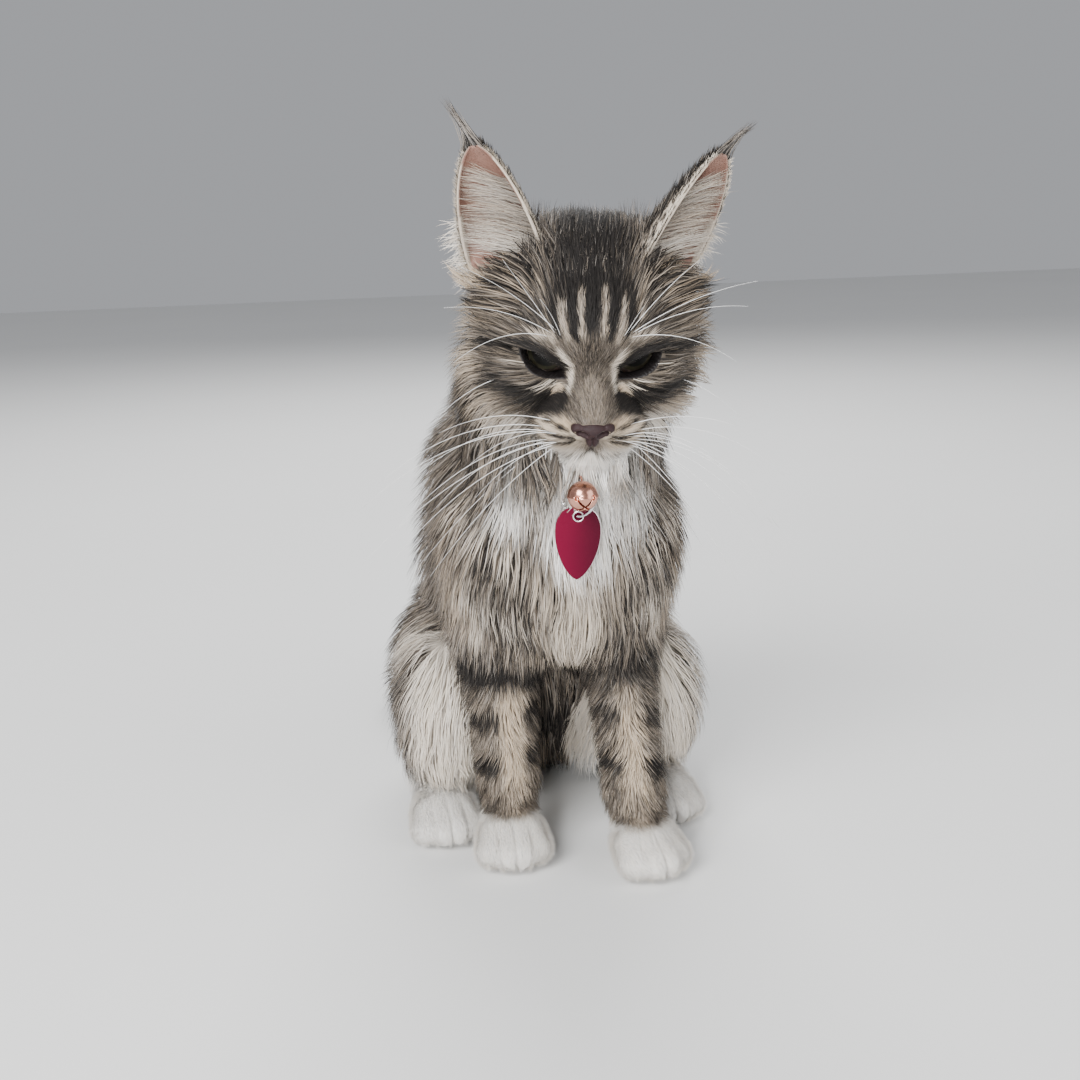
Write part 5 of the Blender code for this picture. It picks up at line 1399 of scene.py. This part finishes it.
def eyeMaterials():
    ball = Finish("eyeball", Roughness=0.5, Specular_IOR_Level=0.1)
    ring, angle, _, _ = ball.parts("gaze")
    fibres = ball.noise(ball.vector(angle * 9.0, ring * 0.35, 0.0), 4.0, 4.0)
    iris = ball.mix((0.016, 0.014, 0.007), (0.045, 0.040, 0.018), fibres)
    iris = ball.mix(iris, (0.02, 0.018, 0.01), ring.step(7.4, 8.4))
    iris = ball.mix((0.002, 0.002, 0.002), iris, ring.step(eyeLook["pupil"] - 0.3, eyeLook["pupil"] + 0.2))
    white = ball.mix((0.10, 0.075, 0.06), (0.16, 0.12, 0.10), ball.noise(ball.place(), 500.0))
    colour = ball.mix(iris, white, ring.step(8.3, 8.7))
    clear = Finish("cornea", Roughness=0.02, Transmission_Weight=1.0, IOR=1.2)
    tint = clear.mix((0.98, 0.98, 0.98), (0.9, 0.9, 0.88), clear.noise(clear.place(), 40.0))
    return ball.surface(Base_Color=colour), clear.surface(Base_Color=tint)


def eyeProfile(clear):
    # The half outline of the eyeball, with its flat iris, or of the clear cornea over it.
    radius, iris = eyes["radius"], eyeLook["iris"]
    angles = np.linspace(0, 1.25, 30) if clear else np.concatenate([
        np.linspace(0, 0.95, 26), np.linspace(1.02, math.pi, 22)])
    grown = radius + (eyeLook["film"] if clear else 0.0)
    rows = []
    for a in angles:
        r, ahead = grown * math.sin(a), grown * math.cos(a)
        if clear:
            ahead += eyeLook["bulge"] * max(1 - (r / 9.2) ** 2, 0)
        elif r < iris and a < 1.2:
            ahead = math.sqrt(radius ** 2 - iris ** 2) - eyeLook["recess"] * (1 - r / iris) * 0.5 + 0.2
        rows.append((r, ahead))
    return rows


def closeSeams(bm):
    bmesh.ops.remove_doubles(bm, verts=bm.verts[:], dist=1e-6)
    bmesh.ops.recalc_face_normals(bm, faces=bm.faces[:])


def makeEyes():
    ballMaterial, clearMaterial = eyeMaterials()
    around = 48
    for side in signs:
        centre = np.array(flip((eyes["apart"], 0, 0), side), float)
        gaze = unit(np.array(flip((0.13, -0.88, 0.36), side)))
        first = unit(np.cross(gaze, (0, 0, 1)))
        second = np.cross(first, gaze)
        for name, material, clear in (("eyeball_", ballMaterial, False), ("cornea_", clearMaterial, True)):
            profile = eyeProfile(clear)
            turns = [2 * math.pi * k / around for k in range(around)]
            points = [centre + gaze * ahead + (first * math.cos(turn) + second * math.sin(turn)) * r
                      for r, ahead in profile for turn in turns]
            obj = meshObject(name + side, headToCat(points), loft(around, len(profile)))
            reshape(obj, closeSeams)
            obj.data.shade_smooth()
            local = catToHead(pointsOf(obj)) - centre
            ahead = local @ gaze
            ring = np.linalg.norm(local - np.outer(ahead, gaze), axis=1)
            ring[ahead < 0] = 99
            store(obj, "gaze", np.stack([ring, np.arctan2(local @ second, local @ first), ring * 0], axis=1))
            dress(obj, "eye", material)
            if not clear:
                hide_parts("eye_" + side)


# The nose leather, with comma-shaped nostrils and a groove down its middle.
noseForms = [((0, -39.6, -17), (6.4, 3.6, 4.0)), ((0, -39.4, -21.5), (2.8, 3.0, 3.8)),
             ((5.6, -37.8, -16.8), (3.8, 3.8, 3.3)), ((-5.6, -37.8, -16.8), (3.8, 3.8, 3.3))]


def makeNose():
    bm = bmesh.new()
    for centre, size in noseForms:
        sizes = Matrix.Diagonal((*((Vector(size) + Vector((0.2, 0.2, 0.2))) * mm), 1))
        matrix = Matrix.Translation(place(fromHead(centre))) @ headTurn.to_4x4() @ sizes
        bmesh.ops.create_icosphere(bm, subdivisions=4, radius=1, matrix=matrix)
    nose = objectFrom(bm, "nose_leather")
    modify(nose, "REMESH", mode="VOXEL", voxel_size=0.28 * mm)
    modify(nose, "SMOOTH", factor=0.5, iterations=6)
    local = catToHead(pointsOf(nose))
    normals = np.empty(len(local) * 3)
    nose.data.vertices.foreach_get("normal", normals)
    deep = 0.8 * np.exp(-(local[:, 0] / 0.55) ** 2) * fade((-17.5 - local[:, 2]) / 2)
    for sign in (-1, 1):
        comma = np.array([(2.9, -43, -17.9), (4.6, -42.4, -17.0), (6.6, -41, -17.4), (8.2, -39.5, -18.9)])
        apart = lineDistance(local * (1, 0.35, 1), comma * (sign, 0.35, 1))
        deep += 2.6 * np.exp(-(apart / 0.95) ** 2) * (local[:, 1] < -38)
    setPoints(nose, headToCat(local - normals.reshape(-1, 3) @ headRows * deep[:, None]))
    nose.data.shade_smooth()
    finish = Finish("nose_skin", Roughness=0.5, Specular_IOR_Level=0.25)
    pebble = finish.node("ShaderNodeTexVoronoi", {"feature": "DISTANCE_TO_EDGE"},
                         {"Vector": finish.place(), "Scale": 1500.0})
    broad = finish.noise(finish.place(), 150.0, 3.0)
    colour = finish.mix((0.014, 0.006, 0.007), (0.036, 0.014, 0.015), broad)
    # Painted shade: the grooves between the pebbles are darker.
    colour = finish.mix((0.010, 0.006, 0.007), colour, (pebble * 6).clamp() * 0.6 + 0.4)
    finish.surface(Base_Color=colour, Roughness=0.38 + 0.2 * broad,
                   Normal=finish.bump((pebble * 4).clamp(), 0.35, 0.0003))
    dress(nose, "nose_leather", finish.material)
    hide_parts("nose")


# What hangs at the neck.
hangings = {"ring": (-2.6, -67.0, 201.0), "ringRadius": 8.2, "wire": 0.5, "ringTurn": -42, "bell": 6.8,
            "tagWidth": 21.0, "tagHeight": 34.0, "tagThick": 1.2, "tagHole": 2.3, "holeDrop": 4.4,
            "tagTurn": -10, "tagTilt": 3}
ringCentre = np.array(hangings["ring"])
bellCentre = ringCentre + (0.2, -hangings["wire"] - 0.15 - hangings["bell"] - 3.0, 3.2)
# What hair keeps behind: a centre, how far, and the half width and height of a flat thing.
keptClear = [
    (tuple(ringCentre - (0, 0, hangings["ringRadius"] + 12.5)), 1.0, (10.3, 16.5)),
    (tuple(bellCentre), hangings["bell"] + 0.6, None),
]


def tubeMesh(name, path, radius, closed=False, sides=12):
    path = np.array(path, float)
    count = len(path)
    points = []
    reference = np.array((0.13, 0.27, 0.95))
    for i in range(count):
        after = path[(i + 1) % count] if closed else path[min(i + 1, count - 1)]
        before = path[i - 1] if closed else path[max(i - 1, 0)]
        ahead = unit(after - before)
        side = unit(np.cross(ahead, reference))
        up = np.cross(side, ahead)
        reference = up if not closed else reference
        for k in range(sides):
            a = 2 * math.pi * k / sides
            points.append(path[i] + (side * math.cos(a) + up * math.sin(a)) * radius)
    faces = loft(sides, count, closed=closed)
    return meshObject(name, points, faces if closed else faces + caps(sides, count))


def circlePath(centre, first, second, steps=40):
    return [centre + first * math.cos(a) + second * math.sin(a)
            for a in np.linspace(0, 2 * math.pi, steps, endpoint=False)]


def metal(name, colour, rough):
    finish = Finish(name, Metallic=1.0, Roughness=rough)
    worn = finish.noise(finish.place(), 900.0, 4.0)
    tone = finish.mix(tuple(c * 0.8 for c in colour), colour, worn)
    return finish.surface(Base_Color=tone, Roughness=(rough - 0.06) + 0.14 * worn,
                          Normal=finish.bump(worn, 0.06, 0.0002))


def makeRing():
    turn = np.array(spun(hangings["ringTurn"]))
    radius, steps = hangings["ringRadius"], 132
    path = []
    for i in range(steps + 1):
        # Two turns of wire side by side, as a split ring has.
        a = 2 * math.pi * 2 * i / steps + 0.6
        aside = 0.48 * math.tanh((i / steps - 0.5) * 9)
        path.append(ringCentre + turn @ np.array((math.cos(a) * radius, aside, math.sin(a) * radius)))
    ring = tubeMesh("split_ring_wire", path, hangings["wire"])
    dress(ring, "steel", metal("polished_steel", (0.86, 0.86, 0.88), 0.16))
    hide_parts("split_ring")


def makeBell():
    radius = hangings["bell"]
    bell = sphere("bell_shell", bellCentre, [radius] * 3, segments=64, rings=48)
    points = pointsOf(bell) - bellCentre
    # A raised band round the middle, and two crossed slots with round ends.
    band = 0.35 * np.exp(-(points[:, 2] / 0.55) ** 2)
    points *= (1 + band / radius)[:, None]
    setPoints(bell, points + bellCentre)
    for spin in (0, 90):
        turn = spun(-52, "X") @ spun(45) @ spun(spin)
        base = bellCentre + np.array(turn @ Vector((0, 0, -radius)))
        boolean(bell, sphere("slot", base, (radius * 0.86, 0.62, 4.6), turn, 32, 16), "DIFFERENCE")
        for end in (-1, 1):
            spot = bellCentre + np.array(turn @ Vector((end * radius * 0.74, 0, -radius * 0.62)))
            boolean(bell, sphere("hole", spot, [1.15] * 3, upright, 20, 12), "DIFFERENCE")
    top = ringCentre + (0, 0, hangings["ringRadius"])
    start, end = bellCentre + (0, 1.5, radius - 0.6), top + (1.2, 0.6, 0.2)
    reach = (end - start) / 2
    side = unit(np.cross(reach, (1, 0, 0))) * 1.9
    loop = tubeMesh("bell_loop", circlePath((start + end) / 2, reach * 1.1, side), 0.5, closed=True)
    rose = metal("rose_metal", (0.68, 0.34, 0.25), 0.2)
    for obj in (bell, loop):
        dress(obj, "rose_metal", rose)
    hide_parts("bell")


def tagOutline(steps, inset):
    rows = []
    for i in range(2 * steps):
        v = (i if i <= steps else 2 * steps - i) / steps
        half = (hangings["tagWidth"] / 2 - inset) * v ** 0.65 * (1 - v) ** 0.34 / 0.529
        half *= 1 if i < steps else -1
        height = (hangings["tagHeight"] - 2 * inset) * (v - 1) - inset + hangings["holeDrop"]
        rows.append(np.array((half, 0, height)))
    return rows


def crimsonMaterial():
    red = Finish("crimson", Roughness=0.4, Specular_IOR_Level=0.08)
    across, _, _, _ = red.parts("spot")
    grain = red.noise(red.place(), 1400.0, 4.0)
    # Painted light: the plate is brighter on its side towards the key lamp (the cat's right) and darker on
    # the other.
    paintedLightSweep = (across + 0.15 * red.noise(red.place(), 60.0, 2.0)).step(-0.9, 1.1)
    colour = red.mix((0.125, 0.0005, 0.020), (0.045, 0.0003, 0.009), paintedLightSweep)
    return red.surface(Base_Color=red.mix(colour, (0.09, 0.002, 0.012), grain * 0.25),
                       Roughness=0.38 + 0.1 * grain, Normal=red.bump(grain, 0.05, 0.0002))


def makeTag():
    turn = np.array(spun(hangings["tagTurn"]) @ spun(hangings["tagTilt"], "Y"))
    hole = ringCentre - (0, 0, hangings["ringRadius"])
    steps, half = 48, hangings["tagThick"] / 2
    edge = [(0.75, half), (0.22, half * 0.92), (0.0, half * 0.55)]
    layers = edge + [(inset, -y) for inset, y in edge[::-1]]
    points = [hole + turn @ (p + (0, y, 0)) for inset, y in layers for p in tagOutline(steps, inset)]
    faces = loft(2 * steps, len(layers)) + caps(2 * steps, len(layers))
    tag = meshObject("name_tag", points, faces, smooth=False)
    reshape(tag, cleanFaces)
    through = [hole + turn @ np.array((0, y, 0)) for y in (-3, 3)]
    boolean(tag, tubeMesh("drill", through, hangings["tagHole"], sides=40), "DIFFERENCE")
    local = (pointsOf(tag) - hole) @ turn
    spot = [local[:, 0] / hangings["tagWidth"] * 2, local[:, 2] / hangings["tagHeight"], abs(local[:, 1])]
    store(tag, "spot", np.stack(spot, axis=1))
    bare = metal("bare_edge", (0.84, 0.76, 0.77), 0.22)
    dress(tag, "crimson", crimsonMaterial(), bare)
    normals = np.array([p.normal[:] for p in tag.data.polygons]) @ turn
    tag.data.polygons.foreach_set("material_index", (abs(normals[:, 1]) < 0.97).astype(int))
    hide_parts("tag")
    path = circlePath(hole + turn @ np.array((0, -half - 0.05, 0)), turn @ np.array((2.25, 0, 0)),
                      turn @ np.array((0, 0, 2.25)))
    dress(tubeMesh("tag_eyelet", path, 0.38, closed=True, sides=8), "steel", bare)


def makeCollar():
    # The strap hides in the fur; it is the solid's own band with a woven finish.
    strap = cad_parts["collar"]
    finish = Finish("woven_strap", Roughness=0.85, Sheen_Weight=0.3)
    weave, cross = (finish.node("ShaderNodeTexWave", {"wave_type": "BANDS", "bands_direction": way},
                                {"Vector": finish.place(), "Scale": scale})
                    for way, scale in (("DIAGONAL", 700.0), ("Z", 520.0)))
    pattern = weave * cross
    colour = finish.mix((0.012, 0.012, 0.014), (0.06, 0.06, 0.068), pattern)
    strap.data.materials.clear()
    strap.data.materials.append(finish.surface(Base_Color=colour, Roughness=0.75 + 0.2 * pattern,
                                               Normal=finish.bump(pattern, 0.6, 0.0004)))


# Whiskers: long white hairs from the muzzle and the brows. Each root is in the head's frame.
whiskers = {"thick": 0.32, "tip": 0.08, "sides": 6, "stations": 16, "longer": 1.12, "droopMore": 1.7,
            "foremost": -108, "widest": 98}
muzzleWhiskers = [
    # root, way it leaves, length, droop
    ((12.5, -37.6, -21.8), (0.95, 0.00, 0.30), 46, 22), ((16.0, -34.0, -22.2), (1.0, 0.05, 0.22), 60, 30),
    ((19.0, -29.5, -22.4), (1.0, 0.15, 0.12), 70, 34), ((13.5, -36.6, -25.2), (0.95, 0.00, 0.05), 56, 32),
    ((17.2, -32.4, -25.6), (1.0, 0.08, -0.05), 74, 38), ((19.8, -27.6, -25.8), (1.0, 0.20, -0.12), 76, 34),
    ((14.5, -35.0, -28.0), (0.9, 0.00, -0.25), 70, 34), ((18.0, -30.0, -28.6), (0.95, 0.1, -0.35), 84, 34),
    ((15.0, -33.0, -30.8), (0.7, 0.0, -0.60), 64, 22), ((18.5, -28.0, -31.2), (0.75, 0.1, -0.80), 74, 22),
    ((10.5, -38.8, -24.5), (0.85, -0.05, 0.05), 40, 22), ((16.0, -31.6, -19.2), (1.0, 0.08, 0.36), 50, 18),
]
browWhiskers = [
    ((14.0, -13.0, 14.0), (0.45, -0.40, 1.0), 66, 8), ((15.5, -12.5, 14.5), (0.70, -0.35, 1.0), 70, 12),
    ((17.0, -12.0, 14.0), (0.85, -0.30, 0.85), 58, 14), ((13.0, -13.5, 13.0), (0.25, -0.45, 0.9), 38, 4),
    ((16.0, -12.0, 13.2), (0.95, -0.25, 0.55), 50, 20), ((38.0, -2.0, -14.0), (1.0, -0.1, -0.1), 32, 12),
]


def whiskerPath(root, way, length, droop, side):
    root = np.array(flip(root, side)) + chance.normal(0, 0.5, 3)
    way = unit(np.array(flip(way, side)) + chance.normal(0, 0.05, 3))
    root = catToHead(flesh.settle(headToCat([root]), 0.0, 3))[0] - way * 1.5
    length = length * chance.uniform(0.9, 1.08) * whiskers["longer"]
    droop = droop * whiskers["droopMore"]
    steps = np.linspace(0, 1, whiskers["stations"])
    bow = unit(np.cross(way, (0, 1, 0))) * chance.normal(0, 3.0)
    down = np.array(headTurn.inverted() @ Vector((0, 0, -1)))
    path = root + np.outer(steps * length, way) + np.outer(steps ** 2 * droop, down)
    path = path + np.outer(steps ** 2, bow)
    path = headToCat(path + np.outer(steps ** 2.2 * droop * 0.5, (0, 1, 0)))
    path[:, 2] = np.maximum(path[:, 2], 1)
    path[:, 1] += steps ** 1.5 * max(whiskers["foremost"] - path[:, 1].min(), 0)
    path[:, 0] -= steps ** 1.5 * max(path[:, 0].max() - whiskers["widest"], 0)
    return path, (whiskers["thick"] * (1 - steps) + whiskers["tip"] * steps) / 2


def makeWhiskers():
    finish = Finish("whisker", Roughness=0.32, Specular_IOR_Level=0.5)
    tone = finish.noise(finish.place(), 60.0, 2.0)
    finish.surface(Base_Color=finish.mix((0.78, 0.77, 0.75), (0.93, 0.93, 0.92), tone))
    sides, stations = whiskers["sides"], whiskers["stations"]
    for side in signs:
        for area, rows in (("muzzle", muzzleWhiskers), ("brow", browWhiskers)):
            points, faces = [], []
            for row in rows:
                path, radii = whiskerPath(*row, side)
                ahead = unit(np.gradient(path, axis=0))
                aside = unit(np.cross(ahead, (0.1, 0.2, 0.97)))
                up = np.cross(aside, ahead)
                faces += loft(sides, stations, len(points)) + caps(sides, stations, len(points))
                for i in range(stations):
                    for k in range(sides):
                        a = 2 * math.pi * k / sides
                        points.append(path[i] + (aside[i] * math.cos(a) + up[i] * math.sin(a)) * radii[i])
            hairs = meshObject("whiskers_{}_{}".format(area, side), points, faces)
            dress(hairs, "coat_white", finish.material)


def dressSkin(skin):
    points = pointsOf(skin)
    group = flesh.read(points)[4]
    marks = markingsAt(points, group)
    local = catToHead(points)
    bare = np.zeros((len(points), 3))
    for side in signs:
        ear = inEarFrame(points, side)
        up = ear[:, 2] / ears["length"]
        above = np.maximum(up, 0)
        half = np.maximum(earHalf(up), 0.4)
        sine = np.clip(ear[:, 0] / half, -1, 1)
        cup = (ear[:, 1] - (5 * up ** 2 - 3 * up) - 3.5 * sine * (1 - above)) / (half * (1.02 - 0.35 * above))
        away = np.hypot(ear[:, 0] / half, cup)
        on = (up > -0.02) & (up < 1.02) & (away < 1.15) & (ear[:, 1] > -8)
        inner = on & (away < 0.985) & (up > 0.0)
        bare[inner, 0] = 1
        marks[on & ~inner] = (0.62, 0.0, 0.35)
        rim = on & (abs(away - 0.97) < 0.06) & (abs(sine) > 0.9)
        marks[rim] = (0.0, 0.75, 0.85)
        bare[rim, 0] = 0.15
        apart, ahead = slitDistance(local, side)
        bare[:, 1] = np.maximum(bare[:, 1], fade((0.95 - apart) / 0.4) * (ahead >= 4))
        eye = np.linalg.norm(local - np.array(flip((eyes["apart"], 0, 0), side)), axis=1)
        bare[eye < eyes["radius"] + 0.5, 1] = 1
        bare[:, 2] = np.maximum(bare[:, 2], fade((1.5 - lineDistance(points, mouthLine(side))) / 0.8))
    colour = np.concatenate([marks, bare[:, :1] * 0], axis=1)
    skin.data.attributes.new("coat", "FLOAT_COLOR", "POINT").data.foreach_set("color", colour.ravel())
    store(skin, "bare", bare)
    dress(skin, "coat_grey", skinMaterial())
    skin.data.shade_smooth()
    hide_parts("head", "neck", "chest", "hindquarters", "thigh_left", "thigh_right", "hind_foot_left",
                "hind_foot_right", "foreleg_left", "foreleg_right", "forepaw_left", "forepaw_right",
                "ear_left", "ear_right", "tail_root", "tail_middle", "tail_tip")


skin = roughSkin()
note("skin", len(skin.data.vertices))
refineFace(skin)
carveFace(skin)
skin.data.calc_loop_triangles()
skinTriangles = np.empty(len(skin.data.loop_triangles) * 3, np.int64)
skin.data.loop_triangles.foreach_get("vertices", skinTriangles)
skinTriangles = skinTriangles.reshape(-1, 3)
skinPoints = pointsOf(skin)
for side in signs:
    boolean(skin, earMesh(side), "UNION")
openEyes(skin)
dressSkin(skin)
note("skin with ears and lids", len(skin.data.vertices))

makeEyes()
makeNose()
makeRing()
makeBell()
makeTag()
makeCollar()
note("eyes, nose and what hangs at the neck")

coat = coatMaterial()
coatTotal = growCoat(skinPoints, skinTriangles, coat)
for grow in (growEarHair, growPawHair, growChinHair, growCollarHair):
    coatTotal += grow(coat)
coatTotal += growCrownHair(skinPoints, skinTriangles, coat)
makeWhiskers()
note("coat", coatTotal, "triangles")


# The floor, the lights and the camera.
stageLook = {"floor": 8.0, "sky": 0.42}
lamps = {"key": (66.0, 1.1, (-1.1, -1.3, 1.35)), "fill": (20.0, 1.6, (1.5, -1.1, 0.8)),
         "rim": (36.0, 1.2, (0.2, 1.4, 1.5)), "catch": (16.0, 0.2, (-0.45, -1.5, 0.44))}
floorFinish = Finish("pale_floor", Roughness=0.8)
floorTone = floorFinish.noise(floorFinish.place(), 3.0)
floorFinish.surface(Base_Color=floorFinish.mix((0.74, 0.74, 0.73), (0.78, 0.78, 0.77), floorTone))
half = stageLook["floor"] / 2
floorMesh = bpy.data.meshes.new("floor")
corners = [(-half, -half, 0), (half, -half, 0), (half, half, 0), (-half, half, 0)]
floorMesh.from_pydata(corners, [], [(0, 1, 2, 3)])
floorMesh.materials.append(floorFinish.material)
floor = newObject("floor", floorMesh)

sky = bpy.data.worlds.new("studio")
sky.use_nodes = True
skyInputs = sky.node_tree.nodes["Background"].inputs
skyInputs["Color"].default_value, skyInputs["Strength"].default_value = (0.93, 0.95, 1.0, 1), stageLook["sky"]
bpy.context.scene.world = sky
target = Vector((0, 0, 0.2)) + shift
for name, (power, size, spot) in lamps.items():
    lamp = bpy.data.lights.new(name, "AREA")
    lamp.energy, lamp.size = power, size
    lampObject = newObject(name, lamp)
    lampObject.location = Vector(spot) + shift
    lampObject.rotation_mode = "QUATERNION"
    lampObject.rotation_quaternion = (target - lampObject.location).to_track_quat("-Z", "Y")

cameraPlace = {"turn": 9.0, "pitch": 14.2, "roll": 0.0308, "aside": 0.0096, "back": 0.670, "height": 0.335,
               "lens": 46}
psi, pitch = math.radians(cameraPlace["turn"]), math.radians(cameraPlace["pitch"])
ahead = Vector((math.sin(psi) * math.cos(pitch), math.cos(psi) * math.cos(pitch), -math.sin(pitch)))
down = Vector((0, 0, -1))
down = (down - ahead * down.dot(ahead)).normalized()
aside = ahead.cross(-down).normalized()
tilt = math.atan(cameraPlace["roll"])
imageDown = (down * math.cos(tilt) - aside * math.sin(tilt)).normalized()
imageRight = ahead.cross(-imageDown).normalized()
camera = newObject("camera", bpy.data.cameras.new("camera"))
matrix = Matrix((imageRight, -imageDown, -ahead)).transposed().to_4x4()
matrix.translation = Vector((-cameraPlace["aside"] * math.cos(psi) - cameraPlace["back"] * math.sin(psi),
                             cameraPlace["aside"] * math.sin(psi) - cameraPlace["back"] * math.cos(psi),
                             cameraPlace["height"])) + shift
camera.matrix_world = matrix
camera.data.lens, camera.data.sensor_width, camera.data.clip_start = cameraPlace["lens"], 36, 0.01
bpy.context.scene.camera = camera

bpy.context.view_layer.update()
note("done")
